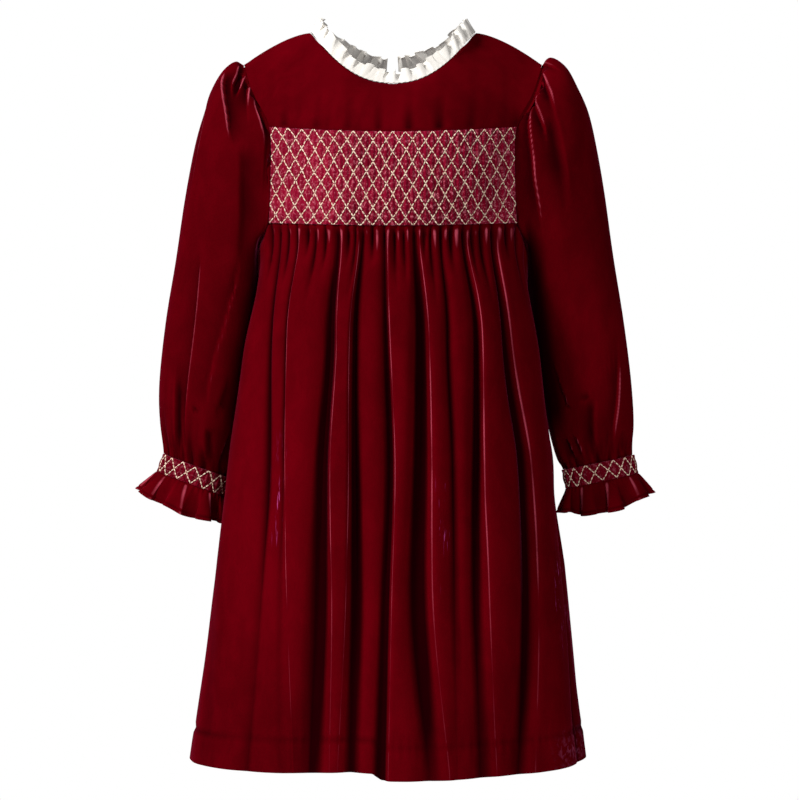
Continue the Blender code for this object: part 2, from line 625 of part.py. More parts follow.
def neck_frill_sheets():
    columns = NECK_FRILL_WAVES * 4 + 1
    seam = neck_loop(columns)
    inward = -np.stack([seam[:, 0], seam[:, 1] - NECK_Y, np.zeros(columns)], -1)
    inward = unit(inward)
    stand = unit(inward * NECK_FRILL_IN + np.array([0, 0, NECK_FRILL_UP]))
    ahead = unit(np.gradient(seam, axis=0))
    outward = unit(np.cross(stand, ahead))
    outward *= np.sign(-(outward * inward).sum(1))[:, None]
    wave = np.cos(np.arange(columns) * math.pi / 2)
    outer, inner = [], []
    for level in NECK_FRILL_LEVELS:
        up = NECK_FRILL_GAP + NECK_FRILL * level
        points = seam + stand * up + outward * (wave * NECK_FRILL_WAVE * level**0.8)[:, None]
        outer.append(points)
        inner.append(points - outward * FRILL_CLOTH)
    return np.array(outer), np.array(inner)


def material(name, look):
    colour, roughness = look
    made = bpy.data.materials.new(name)
    made.use_nodes = True
    shader = made.node_tree.nodes["Principled BSDF"]
    shader.inputs["Base Color"].default_value = (*colour, 1)
    shader.inputs["Roughness"].default_value = roughness
    shader.inputs["Metallic"].default_value = 0.0
    return made


def wall(name, sheets, look, closed=False, ridged=False):
    """One closed solid between an outer and an inner sheet. A closed one runs right round, and a
    ridged one has its quads cut along the valleys of a smocking grid."""
    outer, inner = sheets
    rows, columns = outer.shape[:2]
    points = np.concatenate([outer.reshape(-1, 3), inner.reshape(-1, 3)])
    offset = rows * columns
    spans = columns if closed else columns - 1

    def index(i, j, side):
        return side * offset + i * columns + j % columns

    faces = []
    for i in range(rows - 1):
        for j in range(spans):
            quad = [(i, j), (i, j + 1), (i + 1, j + 1), (i + 1, j)]
            if ridged and (i + j) % 2:
                quad = quad[1:] + quad[:1]
            for corners in (quad[:3], [quad[0], *quad[2:]]):
                faces.append([index(a, b, 0) for a, b in corners])
                faces.append([index(a, b, 1) for a, b in reversed(corners)])
    for j in range(spans):
        faces.append([index(0, j + 1, 0), index(0, j, 0), index(0, j, 1), index(0, j + 1, 1)])
        top = rows - 1
        faces.append([index(top, j, 0), index(top, j + 1, 0), index(top, j + 1, 1), index(top, j, 1)])
    if not closed:
        for i in range(rows - 1):
            faces.append([index(i, 0, 0), index(i + 1, 0, 0), index(i + 1, 0, 1), index(i, 0, 1)])
            end = columns - 1
            faces.append([index(i + 1, end, 0), index(i, end, 0), index(i, end, 1), index(i + 1, end, 1)])
    return closed_object(name, points, faces, look)


def closed_object(name, points, faces, look):
    """An object from points in millimetres, with its faces turned outward."""
    mesh = bpy.data.meshes.new(name)
    mesh.from_pydata((points * MM).tolist(), [], faces)
    if volume(mesh) < 0:
        mesh.flip_normals()
    mesh.shade_smooth()
    mesh.materials.append(look)
    made = bpy.data.objects.new(name, mesh)
    bpy.context.scene.collection.objects.link(made)
    return made


def volume(mesh):
    mesh.calc_loop_triangles()
    corners = np.array([[mesh.vertices[v].co for v in t.vertices] for t in mesh.loop_triangles])
    return np.linalg.det(corners).sum() / 6


def ball_button(name, seat, out, up, look):
    """A low round button whose flat back stands just off the cloth."""
    side = np.cross(up, out)
    turn = np.linspace(0, 2 * math.pi, BUTTON_SIDES, endpoint=False)
    points = []
    for radius, height in BUTTON_PROFILE:
        centre = seat + out * (BUTTON_GAP + BUTTON_THICK * height)
        spokes = np.outer(np.cos(turn), side) + np.outer(np.sin(turn), up)
        points.extend(centre + spokes * BUTTON_RADIUS * radius)
    n = BUTTON_SIDES
    rings = len(BUTTON_PROFILE)
    faces = [
        [k * n + j, k * n + (j + 1) % n, (k + 1) * n + (j + 1) % n, (k + 1) * n + j]
        for k in range(rings - 1)
        for j in range(n)
    ]
    faces += [list(range(n))[::-1], list(range((rings - 1) * n, rings * n))]
    return closed_object(name, np.array(points), faces, look)


def cord_loop(name, seat, out, up, look):
    """A cord that leaves the other edge of the opening, passes round the button and goes back."""
    side = np.cross(up, out)
    side *= np.sign(side[0])
    radius = BUTTON_RADIUS + LOOP_CLEARANCE + LOOP_THICK / 2
    bend = np.linspace(math.pi / 2, 3 * math.pi / 2, LOOP_BENDS)
    flat = [(LOOP_REACH, radius), *[(radius * math.cos(b), radius * math.sin(b)) for b in bend]]
    flat.append((LOOP_REACH, -radius))
    level = out * (BUTTON_GAP + LOOP_THICK / 2 + LOOP_LIFT)
    path = np.array([seat + level + side * a + up * b for a, b in flat])
    ahead = unit(np.gradient(path, axis=0))
    beside = unit(np.cross(ahead, out))
    points = []
    for k in range(len(path)):
        for turn in np.linspace(0, 2 * math.pi, LOOP_SIDES, endpoint=False):
            spoke = beside[k] * math.cos(turn) + out * math.sin(turn)
            points.append(path[k] + spoke * LOOP_THICK / 2)
    n = LOOP_SIDES
    faces = [
        [k * n + j, k * n + (j + 1) % n, (k + 1) * n + (j + 1) % n, (k + 1) * n + j]
        for k in range(len(path) - 1)
        for j in range(n)
    ]
    faces += [list(range(n))[::-1], list(range((len(path) - 1) * n, len(path) * n))]
    return closed_object(name, np.array(points), faces, look)


def button_seat(yoke):
    """Where the button is sewn on the outer sheet of the right back yoke: the point, the
    direction out of the cloth and the direction up along it."""
    outer = yoke[0]
    row = len(outer) - 1 - BUTTON_ROWS_DOWN
    xs = outer[row, :, 0]
    seat = np.array([np.interp(BUTTON_X, xs, outer[row, :, k]) for k in range(3)])
    above = np.array([np.interp(BUTTON_X, xs, outer[row + 1, :, k]) for k in range(3)])
    up = unit((above - seat) * (0, 1, 1))
    out = np.array([0, -up[2], up[1]])
    return seat, out * np.sign(out[1]), up


def build():
    for old in list(bpy.data.objects):
        bpy.data.objects.remove(old)
    velvet = material("red_velvet", VELVET)
    white = material("white_cotton", FRILL_WHITE)
    wall("front_yoke", yoke_sheets(20, 6, back=False), velvet)
    wall("smocked_chest_panel", smocked_panel_sheets(), velvet, ridged=True)
    front = skirt_sheets(FRONT_FOLDS, FRONT_GATHERS, SKIRT_LEVELS, False, FRONT_COLUMNS)
    back = skirt_sheets(BACK_FOLDS, BACK_GATHERS, SKIRT_LEVELS, True, BACK_COLUMNS)
    wall("front_skirt", front, velvet)
    wall("back_skirt", back, velvet)
    for side, word in ((-1.0, "right"), (1.0, "left")):
        span = (-1.0, 0.0) if side < 0 else (0.0, 1.0)
        half = yoke_sheets(10, 7, back=True, span=span)
        open_back_slit(half, side)
        wall(f"back_yoke_{word}", half, velvet)
        if side < 0:
            seat, out, up = button_seat(half)
        sections = RIGHT_SLEEVE if side < 0 else LEFT_SLEEVE
        wall(f"sleeve_{word}", sleeve_sheets(sections, side), velvet, closed=True)
        wall(f"cuff_smocking_{word}", cuff_sheets(sections[-1]), velvet, closed=True, ridged=True)
        wall(f"cuff_frill_{word}", cuff_frill_sheets(sections[-1]), velvet, closed=True)
    wall("neck_frill", neck_frill_sheets(), white)
    ball_button("neck_button", seat, out, up, material("button_red", BUTTON_RED))
    cord_loop("button_loop", seat, out, up, velvet)


build()
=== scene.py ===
"""The looks of the smocked velvet dress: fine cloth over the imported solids' own form."""

import math

import bpy
import numpy as np
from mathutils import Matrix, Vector


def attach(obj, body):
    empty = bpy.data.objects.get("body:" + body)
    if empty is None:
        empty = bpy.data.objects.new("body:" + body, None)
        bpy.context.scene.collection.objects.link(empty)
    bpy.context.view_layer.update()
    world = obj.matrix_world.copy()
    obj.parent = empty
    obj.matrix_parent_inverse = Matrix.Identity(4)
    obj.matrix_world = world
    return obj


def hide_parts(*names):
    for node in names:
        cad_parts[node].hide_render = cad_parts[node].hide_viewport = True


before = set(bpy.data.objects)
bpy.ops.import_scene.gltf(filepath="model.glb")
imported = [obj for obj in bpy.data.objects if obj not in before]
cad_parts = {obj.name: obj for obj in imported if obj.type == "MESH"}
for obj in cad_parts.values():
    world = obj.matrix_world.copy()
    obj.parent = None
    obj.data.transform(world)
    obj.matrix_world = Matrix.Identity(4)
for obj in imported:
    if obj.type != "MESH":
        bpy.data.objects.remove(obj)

MM = 0.001

# Driving sizes of the whole garment
HEM_Z = -651.0  # shoulder at the neck down to the hem
CLOTH = 2.0  # velvet with its lining
FRILL_CLOTH = 1.0  # the white cotton of the neck frill
SEAM_GAP = 0.3
HEM_CLOTH = 3.0  # the two layers of the turned-up hem
CURVE_STEPS = 400

# Neckline and shoulders
NECK_HALF = 75.0
NECK_Y = 6.0  # the neck points lie this far behind the middle
NECK_FRONT = (-58.0, -53.0)  # y and z at the centre front
NECK_BACK = (54.0, -30.0)  # y and z at the centre back
NECK_POWER = 2.2  # how squarely the neckline turns
SHOULDER_HALF = 134.0
SHOULDER_DROP = 29.0
SHOULDER_POWER = 1.5
BACK_SLIT_TOP = (-6.0, 5.0)  # x of the two edges of the back opening at the neck
BACK_SLIT_HALF = 0.4  # half its width where it ends
BACK_SLIT_REACH = 40.0  # how far from the opening the cloth gives way

# The armhole, a closed curve through these points: x out from the middle, y, z
ARMHOLE = (
    (134.0, 4.0, -29.0),  # shoulder tip
    (124.5, -27.0, -58.0),
    (109.0, -50.0, -90.0),  # front yoke seam
    (107.5, -55.0, -133.0),
    (109.5, -50.0, -175.0),  # last row of smocking
    (115.5, -28.0, -187.5),
    (119.0, 0.0, -192.0),  # underarm
    (117.5, 20.0, -177.0),
    (114.0, 37.0, -143.0),
    (109.5, 51.0, -105.0),  # back yoke seam
    (121.5, 33.0, -66.0),
)
SHOULDER_TIP, YOKE_CORNER, SMOCK_CORNER, UNDERARM, BACK_CORNER = 0, 2, 4, 6, 9

# Smocked chest panel
CHEST_FRONT = (-92.0, -98.0)  # y and z of the yoke seam at the centre front
WAIST_FRONT = (-97.0, -180.0)  # y and z of the last row of smocking there
CHEST_POWER = 2.3
DIAMONDS_ACROSS = 19
DIAMOND_HALF_ROWS = 9
PUFF = 1.5  # how far each smocked diamond stands proud
SMOCK_SHARE = 0.72  # share of the way to the side seam that the smocking takes up

# Yokes
BACK_CHEST = (72.0, -108.0)  # y and z of the back yoke's seam at the centre back
BACK_YOKE_SHARE = 0.76  # share of the way to the side seam that the back yoke takes up
NECK_SHARE = 0.6  # share of a yoke's half width that the neck takes up
YOKE_BULGE = 6.0

# Horizontal sections of the skirt. Half widths are on the wearer's right (-X) and left (+X);
# front and back are measured from centre_y, the depth at which the section is widest.
SECTION_COLUMNS = ("z", "half_right", "half_left", "centre_y", "front", "back")
SECTIONS = (
    (-100.0, 117.0, 117.0, -2.0, 92.0, 75.0),
    (-192.0, 119.0, 119.0, -6.0, 93.0, 85.0),
    (-242.0, 127.0, 127.0, -8.0, 101.0, 92.0),
    (-286.0, 134.5, 134.0, -8.0, 105.0, 97.0),
    (-331.0, 140.5, 139.0, -8.0, 109.0, 102.0),
    (-375.0, 146.0, 145.5, -8.0, 112.0, 106.0),
    (-420.0, 150.5, 149.0, -8.0, 115.0, 110.0),
    (-464.0, 155.5, 152.0, -7.0, 119.0, 113.0),
    (-509.0, 161.0, 156.5, -6.0, 122.0, 116.0),
    (-553.0, 166.0, 161.0, -5.0, 125.0, 118.0),
    (-598.0, 172.0, 165.5, -4.0, 128.0, 120.0),
    (-651.0, 179.0, 171.0, -4.0, 131.0, 123.0),
)
SECTION_POWER = 2.3
MIDDLING_SECTION = (150.0, 112.0)  # half width and depth of the section that sets the shares
ARM_DENT = 12.5  # the hanging sleeves press the skirt in by this much
ARM_DENT_Y = 8.0
ARM_DENT_REACH = 34.0
ARM_DENT_HEIGHTS = (-196.0, -250.0, -410.0, -480.0)

# Long folds of the skirt, one row each. Places are shares of the way from the centre to the side
# seam at the five heights, minus on the wearer's right. Depths and the breadths of the two flanks
# are at the first, middle and last height, and each flank has its own steepness. So a row reads:
# five places, three depths, three left breadths, three right breadths, left and right steepness.
FOLD_HEIGHTS = (-180.0, -279.0, -383.0, -500.0, -651.0)
FRONT_FOLDS = (
    (-0.661, -0.609, -0.551, -0.527, -0.529, 4.6, 4.5, 2.5, 3.2, 9.0, 14.0, 3.2, 8.0, 13.0, 1.3, 1.3),
    (-0.556, -0.508, -0.474, -0.44, -0.4, 4.6, 3.0, 0.5, 3.2, 6.0, 12.0, 2.6, 2.6, 10.0, 1.3, 2.2),
    (-0.325, -0.285, -0.3, -0.29, -0.294, 5.0, 12.5, 6.5, 3.6, 12.0, 20.0, 4.5, 8.0, 15.0, 1.3, 3.0),
    (-0.17, -0.168, -0.156, -0.138, -0.141, 5.0, 10.5, 6.5, 3.0, 4.0, 10.0, 4.0, 11.0, 14.0, 2.4, 1.3),
    (-0.052, -0.03, -0.01, -0.026, -0.041, 4.8, 8.0, 9.0, 3.2, 8.0, 14.0, 2.6, 3.4, 5.0, 1.3, 3.0),
    (0.12, 0.12, 0.108, 0.089, 0.127, 5.0, 12.0, 5.0, 3.6, 8.5, 14.0, 4.5, 9.0, 14.0, 1.6, 3.0),
    (0.277, 0.246, 0.248, 0.236, 0.225, 4.6, 4.5, 1.5, 3.2, 7.0, 14.0, 3.2, 6.0, 13.0, 1.3, 1.6),
    (0.402, 0.383, 0.354, 0.323, 0.311, 4.6, 8.0, 4.0, 3.2, 8.0, 15.0, 3.2, 5.0, 12.0, 1.3, 2.4),
    (0.575, 0.545, 0.58, 0.551, 0.461, 4.6, 9.0, 4.5, 3.2, 9.0, 18.0, 3.2, 7.0, 12.0, 1.3, 2.2),
    (0.83, 0.85, 0.86, 0.85, 0.83, 2.0, 6.5, 3.0, 3.0, 5.0, 10.0, 3.5, 8.0, 14.0, 2.2, 1.3),
)
BACK_FOLDS = (
    (-0.72, -0.71, -0.7, -0.71, -0.72, 4.4, 6.325, 4.0, 3.4, 9.0, 16.0, 3.4, 9.0, 16.0, 1.35, 1.6),
    (-0.5, -0.48, -0.47, -0.45, -0.45, 4.6, 9.775, 6.0, 3.4, 8.0, 14.0, 2.72, 6.4, 11.2, 1.35, 1.6),
    (-0.27, -0.25, -0.24, -0.22, -0.2, 4.6, 10.35, 5.0, 3.4, 8.0, 15.0, 3.4, 8.0, 15.0, 1.35, 1.6),
    (0.02, 0.04, 0.03, 0.03, 0.05, 4.6, 9.2, 6.5, 3.4, 7.5, 14.0, 2.38, 5.25, 9.8, 1.35, 1.6),
    (0.28, 0.27, 0.27, 0.29, 0.3, 4.6, 10.925, 5.0, 3.4, 8.0, 15.0, 3.4, 8.0, 15.0, 1.35, 1.6),
    (0.5, 0.49, 0.5, 0.51, 0.52, 4.6, 8.625, 5.5, 3.4, 8.0, 14.0, 3.4, 8.0, 14.0, 1.35, 1.6),
    (0.7, 0.73, 0.74, 0.74, 0.74, 4.4, 6.325, 4.0, 3.4, 9.0, 16.0, 3.4, 9.0, 16.0, 1.35, 1.6),
)
# Short gathers between the long folds, which run out below the seam: where each starts
FRONT_GATHERS = (
    -0.71, -0.61, -0.495, -0.45, -0.39, -0.255, -0.215, -0.115, 0.008,
    0.062, 0.178, 0.218, 0.332, 0.455, 0.508, 0.66, 0.72,
)
BACK_GATHERS = (
    -0.645, -0.575, -0.425, -0.345, -0.19, -0.11, 0.10, 0.19, 0.355, 0.43, 0.57, 0.635,
)
PLAIN_PLACES = (-0.87, 0.93)  # columns of points below the armholes, ungathered
GATHER_DEPTH = 4.6
GATHER_WIDTH = 2.8
GATHER_LENGTH = 62.0
GATHER_UNEVEN = 0.35  # how much their lengths differ
TUBE_BULGE = 3.0  # how far the round tubes between the long folds stand proud
HEAD_LENGTH = 9.0  # the folds swell out from the seam over this length
HEAD_SHARE = 0.45  # of their depth that they have at the seam itself
FOLD_SHARPNESS = 1.35

# Sleeve sections: x and z of the outer edge and of the inner edge as seen from the front, then half
# the depth and the centre's y
RIGHT_SLEEVE = (
    (-134.0, -29.0, -119.0, -192.0, 51.0, -2.0),
    (-142.0, -26.0, -122.5, -199.0, 54.0, -1.0),
    (-153.0, -35.0, -123.5, -210.0, 56.0, 1.0),
    (-162.5, -52.0, -123.0, -225.0, 56.0, 3.0),
    (-170.5, -75.0, -122.5, -243.0, 54.0, 5.0),
    (-178.5, -105.0, -123.0, -262.0, 51.0, 7.0),
    (-186.5, -148.0, -125.0, -284.0, 48.0, 9.0),
    (-194.5, -202.0, -128.5, -311.0, 45.0, 10.0),
    (-204.0, -258.0, -133.0, -338.0, 43.0, 10.0),
    (-210.5, -314.0, -138.0, -366.0, 40.0, 9.0),
    (-211.0, -351.0, -142.5, -388.0, 32.0, 8.0),
    (-207.5, -379.0, -145.5, -401.5, 18.0, 8.0),
)
LEFT_SLEEVE = (
    (134.0, -29.0, 119.0, -192.0, 51.0, -2.0),
    (142.0, -23.0, 122.5, -199.0, 54.0, -1.0),
    (155.0, -32.0, 123.5, -210.0, 56.0, 1.0),
    (165.0, -50.0, 123.0, -225.0, 56.0, 3.0),
    (175.0, -73.0, 123.0, -243.0, 54.0, 5.0),
    (182.5, -104.0, 124.0, -262.0, 51.0, 7.0),
    (190.0, -145.0, 127.0, -284.0, 48.0, 9.0),
    (198.0, -200.0, 131.0, -311.0, 45.0, 10.0),
    (207.5, -258.0, 136.0, -338.0, 43.0, 10.0),
    (215.0, -314.0, 142.0, -366.0, 40.0, 9.0),
    (218.5, -352.0, 147.5, -385.0, 32.0, 8.0),
    (218.0, -380.0, 152.0, -394.0, 18.0, 8.0),
)
CAP_FADE_ROWS = 4  # the sleeve leaves the armhole's own shape over this many sections
CAP_HALF_ANGLE = 75.0  # degrees each side of the shoulder that are gathered
CAP_GATHERS = 14
UNDERARM_GATHERS = 7  # gathers on the rest of the way round, at the wrist only
SLEEVE_SEAM_GAP = 0.1

# Cuffs
CUFF_HEIGHT = 17.0
CUFF_DIAMONDS = 16
CUFF_PUFF = 1.2
CUFF_FRILL = 27.0
CUFF_FRILL_LIFT = 7.0  # the flared ends hang this much less
CUFF_FRILL_FLARE = (9.0, 17.0)  # growth of the half width and half depth
CUFF_FRILL_WAVES = 9
CUFF_FRILL_WAVE = 4.5

# Neck frill
NECK_FRILL = 16.0
NECK_FRILL_UP = 0.80  # direction in which it stands: this much up
NECK_FRILL_IN = 0.60  # and this much towards the neck's middle
NECK_FRILL_WAVES = 30
NECK_FRILL_WAVE = 3.2
NECK_FRILL_GAP = 1.2

# Sizes of the finer forms
HEM_STITCH = 27.0  # height of the hem's stitch line
FRILL_STITCH = 0.87  # share of the cuff frill's length at its stitch line
PLEATS = 2  # fine pleats in each half diamond
CHEST_FINENESS, CUFF_FINENESS = (10, 9), (10, 10)  # points for each half diamond, across and down
THREAD = 0.52  # half the thickness of a stitch
DEEP_START, DEEP_SPAN = 2.0, 6.0  # a fold gets painted shade from this depth on, darkening over that much more
MARK_RELIEF = 1.6  # cloth that lies this far above or below its surroundings gets the full painted highlight or painted shade
HEM_RISES = (  # share of the way to the side seam, and how far the front hem rises there
    (-1.0, 1.0), (-0.8, -0.5), (-0.4, 0.0), (-0.15, 2.5), (-0.07, 1.0), (-0.04, -5.0),
    (0.15, -5.0), (0.40, -2.5), (0.8, 0.0), (1.0, 2.0),
)
STEEP = 2.0  # flanks at least this steep have a sharp edge
EDGE_AT = 1.25  # where it runs, in breadths of the flank
HALF_ARCS = (190.0, 205.0, 220.0, 232.0, 248.0)  # centre to side seam, along the cloth
GATHERS_ROUND = 30  # short gathers round each end of a sleeve
SIDE_LAP = 0.25  # how far front and back skirt lap at the side seams
# How far skirt and sleeve swell towards each other, at what height and over how much of it
SIDE_SWELLS = ((2.3, -212.0, 20.0), (3.2, -382.0, 26.0))
SLEEVE_SWELL = (2.3, -214.0, 22.0)
FACES_SKIRT = (118.0, 140.0, 205.0, 230.0)  # degrees between which a sleeve turns in to the skirt
CAP_GATHER, CAP_REACH = (0.8, 2.6), (0.35, 1.1)  # depth in millimetres, length in sections
WRIST_GATHER, WRIST_REACH = (1.2, 4.2), (0.45, 1.5)
CAP_GATHER_WIDTH, WRIST_GATHER_WIDTH = 0.055, 0.10  # in radians
# Folds of the sleeves: depth, breadth of the steep side, breadth of the soft side, then places of
# the fold's edge: sections down the sleeve and degrees round it from the outer edge to the front.
RIGHT_FOLDS = (
    (-2.2, 1.5, 14.0, 3.0, 2.0, 3.85, 23.0, 4.72, 28.0, 5.73, 27.0, 6.8, 20.0),
    (4.5, 1.5, 10.0, 1.7, 12.0, 2.15, 24.0, 2.38, 51.0, 2.61, 68.0, 2.52, 82.0),
    (3.5, 1.2, 5.0, 0.5, 10.0, 0.96, 20.0, 1.6, 32.0, 1.85, 48.0),
    (-3.5, 1.2, 6.0, 0.0, 17.0, 1.05, 36.0, 1.7, 49.0),
    (-3.5, 1.2, 7.0, 0.0, 32.0, 0.5, 43.0, 1.05, 58.0, 1.6, 76.0),
    (4.5, 1.5, 12.0, 0.0, 50.0, 0.55, 64.0, 0.69, 80.0, 0.66, 92.0, 1.2, 126.0),
    (3.0, 4.0, 16.0, 2.3, 80.0, 2.66, 95.0, 3.4, 112.0, 5.0, 118.0),
    (-2.4, 1.2, 14.0, 6.3, 63.0, 6.87, 66.0, 7.84, 71.0, 8.98, 72.0, 9.62, 72.0, 10.8, 73.0),
    (3.5, 3.0, 7.0, 8.6, 50.0, 9.4, 54.0, 10.2, 55.0, 11.0, 53.0),
    (3.5, 3.0, 6.0, 9.3, 104.0, 10.0, 107.0, 10.9, 110.0),
    (3.0, 2.0, 6.0, 9.0, 140.0, 9.8, 134.0, 10.8, 127.0),
)
LEFT_FOLDS = (
    (3.0, 1.2, 6.0, 0.1, 4.0, 0.87, 15.0, 1.9, 19.0),
    (5.0, 1.5, 9.0, 0.1, 16.0, 0.87, 32.0, 1.47, 45.0, 1.92, 55.0, 2.7, 68.0),
    (2.5, 1.2, 4.0, 0.1, 27.0, 0.9, 42.0),
    (4.0, 1.3, 8.0, 0.1, 38.0, 0.6, 56.0, 1.42, 68.0, 1.92, 74.0, 2.4, 83.0),
    (3.8, 1.5, 14.0, 0.1, 48.0, 0.9, 73.0, 1.56, 94.0, 1.88, 106.0, 2.47, 114.0, 3.25, 120.0, 5.0, 122.0),
    (4.0, 5.0, 14.0, 2.2, 60.0, 3.0, 70.0, 3.9, 77.0, 5.2, 84.0),
    (3.0, 1.5, 10.0, 8.3, 40.0, 9.2, 54.0, 9.9, 64.0, 10.9, 68.0),
    (4.0, 3.0, 7.0, 8.8, 86.0, 9.5, 93.0, 10.9, 95.0),
    (3.0, 1.5, 6.0, 9.3, 121.0, 10.0, 116.0, 10.9, 113.0),
    (3.0, 1.5, 6.0, 9.2, 134.0, 10.8, 126.0),
)
NAP_SHEEN_STREAKS = (  # where the pile lies the other way, with its sheen painted lighter: centre and size in millimetres
    ((-98.0, -100.0, -412.0), (12.0, 60.0, 60.0)),
    ((42.0, -118.0, -440.0), (10.0, 60.0, 60.0)),
    ((150.0, -60.0, -500.0), (16.0, 80.0, 70.0)),
)
RUBBED_SPOT = ((158.0, -40.0, -640.0), (34.0, 90.0, 30.0))  # where it is rubbed, near the left hem


def through(places, values, at):
    """A smooth curve through values given at rising places, read at the places asked for."""
    places, values = np.asarray(places, float), np.asarray(values, float)
    at = np.asarray(at, float)
    slopes = np.gradient(values, places, axis=0)
    k = np.clip(np.searchsorted(places, at, side="right") - 1, 0, len(places) - 2)
    step = places[k + 1] - places[k]
    t = np.clip((at - places[k]) / step, 0, 1)
    if values.ndim > 1:
        t, step = t[..., None], step[..., None]
    h00 = (1 + 2 * t) * (1 - t) ** 2
    h01 = t * t * (3 - 2 * t)
    h10 = t * (1 - t) ** 2 * step
    h11 = -t * t * (1 - t) * step
    return h00 * values[k] + h01 * values[k + 1] + h10 * slopes[k] + h11 * slopes[k + 1]


def ease(low, high, at):
    """0 at low, 1 at high, with a soft start and end."""
    t = np.clip((np.asarray(at, float) - low) / (high - low), 0, 1)
    return t * t * (3 - 2 * t)


def bell(away, width):
    """1 where away is 0, falling softly on both sides over that width."""
    return np.exp(-((away / width) ** 2))


def unit(vectors):
    return vectors / np.linalg.norm(vectors, axis=-1, keepdims=True)


def armhole(at, side):
    """Points of the armhole curve at the places asked for, which count the rows of ARMHOLE."""
    n = len(ARMHOLE)
    loop = [ARMHOLE[k % n] for k in range(-2, n + 3)]
    points = through(range(-2, n + 3), loop, at)
    return points * (side, 1, 1)


def neckline(x, back):
    """The neck seam above the places x, on the front or the back."""
    y_mid, z_mid = NECK_BACK if back else NECK_FRONT
    share = np.clip(np.abs(x) / NECK_HALF, 0, 1)
    y = NECK_Y + (y_mid - NECK_Y) * np.sqrt(np.clip(1 - share**2, 0, 1))
    z = z_mid * (1 - share**NECK_POWER)
    return np.stack([x, y, z], -1)


def shoulder(x):
    """The shoulder seam above the places x, from the neck point to the armhole."""
    share = (np.abs(x) - NECK_HALF) / (SHOULDER_HALF - NECK_HALF)
    y = NECK_Y + (ARMHOLE[SHOULDER_TIP][1] - NECK_Y) * share
    return np.stack([x, y, -SHOULDER_DROP * np.clip(share, 0, 1) ** SHOULDER_POWER], -1)


def seam_across(middle, corner, share):
    """A level seam over the chest or back, from corner to corner, at shares -1 to 1."""
    out = np.abs(share)
    x = corner[0] * share
    y = middle[0] + (corner[1] - middle[0]) * out**CHEST_POWER
    z = middle[1] + (corner[2] - middle[1]) * out**2
    return np.stack([x, y, z], -1)


def coons(bottom, top, left, right):
    """A patch of points, rows from bottom to top, that fills four edges which share corners."""
    u = np.linspace(0, 1, len(bottom))[None, :, None]
    v = np.linspace(0, 1, len(left))[:, None, None]
    across = (1 - v) * bottom[None] + v * top[None]
    along = (1 - u) * left[:, None] + u * right[:, None]
    corners = (1 - v) * ((1 - u) * bottom[0] + u * bottom[-1]) + v * ((1 - u) * top[0] + u * top[-1])
    return across + along - corners


def sheet_normals(points):
    """Unit normals of a sheet of points, on the side that sees its columns run left to right."""
    return unit(np.cross(np.gradient(points, axis=1), np.gradient(points, axis=0)))


def share_to_angle(share):
    """The angle round a section, 0 at the front and a right angle at the side seam, at which the
    arc has run that share of the way. One middling section serves for all."""
    angle = np.linspace(0, math.pi / 2, CURVE_STEPS)
    radius = superellipse(angle, *MIDDLING_SECTION)
    steps = np.hypot(np.diff(radius * np.sin(angle)), np.diff(radius * np.cos(angle)))
    arc = np.concatenate([[0], np.cumsum(steps)])
    return np.sign(share) * np.interp(np.abs(share), arc / arc[-1], angle)


def superellipse(angle, width, depth):
    across = np.abs(np.sin(angle)) / width
    along = np.abs(np.cos(angle)) / depth
    return (across**SECTION_POWER + along**SECTION_POWER) ** (-1 / SECTION_POWER)


def skirt_form(z, share, back):
    """The smooth outer form of the skirt at heights z and shares of the way to the side seam."""
    rows = np.array(SECTIONS)[::-1]
    column = {c: through(rows[:, 0], rows[:, k], z) for k, c in enumerate(SECTION_COLUMNS)}
    angle = share_to_angle(share)
    width = np.where(share < 0, column["half_right"], column["half_left"])
    depth = column["back"] if back else column["front"]
    radius = superellipse(angle, width, depth)
    x = radius * np.sin(angle)
    y = column["centre_y"] + radius * np.cos(angle) * (1 if back else -1)
    top, full, until, end = ARM_DENT_HEIGHTS
    pressed = ease(top, full, z) * (1 - ease(until, end, z))
    beside = bell(y - ARM_DENT_Y, ARM_DENT_REACH) * ease(0.6, 0.95, np.abs(x) / width)
    return np.stack([x - np.sign(x) * ARM_DENT * pressed * beside, y, z], -1)


def fold_places(folds, gathers):
    """Every valley's share at the five heights: the long folds, and the short gathers spaced
    between them, from seam to seam."""
    heights = len(FOLD_HEIGHTS)
    long = np.array([[-1.0] * heights, *[row[:heights] for row in folds], [1.0] * heights])
    short = [[np.interp(g, long[:, 0], long[:, k]) for k in range(heights)] for g in gathers]
    return np.array(sorted([*long.tolist(), *short]))


def at_height(values, z):
    """Values given at the five heights, or at the first, middle and last, read at height z."""
    heights = FOLD_HEIGHTS if len(values) == len(FOLD_HEIGHTS) else FOLD_HEIGHTS[::2]
    return through(heights[::-1], values[::-1], z)


def skirt_top(share, back):
    """The upper edge of a skirt: the chest or back yoke seam, then the armhole to the underarm."""
    side = np.sign(share)
    out = np.abs(share)
    corner_share = BACK_YOKE_SHARE if back else SMOCK_SHARE
    start, end = (BACK_CORNER, UNDERARM) if back else (SMOCK_CORNER, UNDERARM)
    corner = np.array(ARMHOLE[start])
    middle = BACK_CHEST if back else WAIST_FRONT
    inner = seam_across(middle, corner, share / corner_share)
    along = start + (end - start) * (out - corner_share) / (1 - corner_share)
    outer = armhole(np.clip(along, min(start, end), max(start, end)), 1.0)
    outer[..., 0] *= side
    return np.where((out < corner_share)[..., None], inner, outer)


def flattened(normals, axis):
    """Normals turned at right angles to an axis, so that walls meet squarely at a seam."""
    turned = normals.copy()
    turned[..., axis] = 0
    return unit(turned)


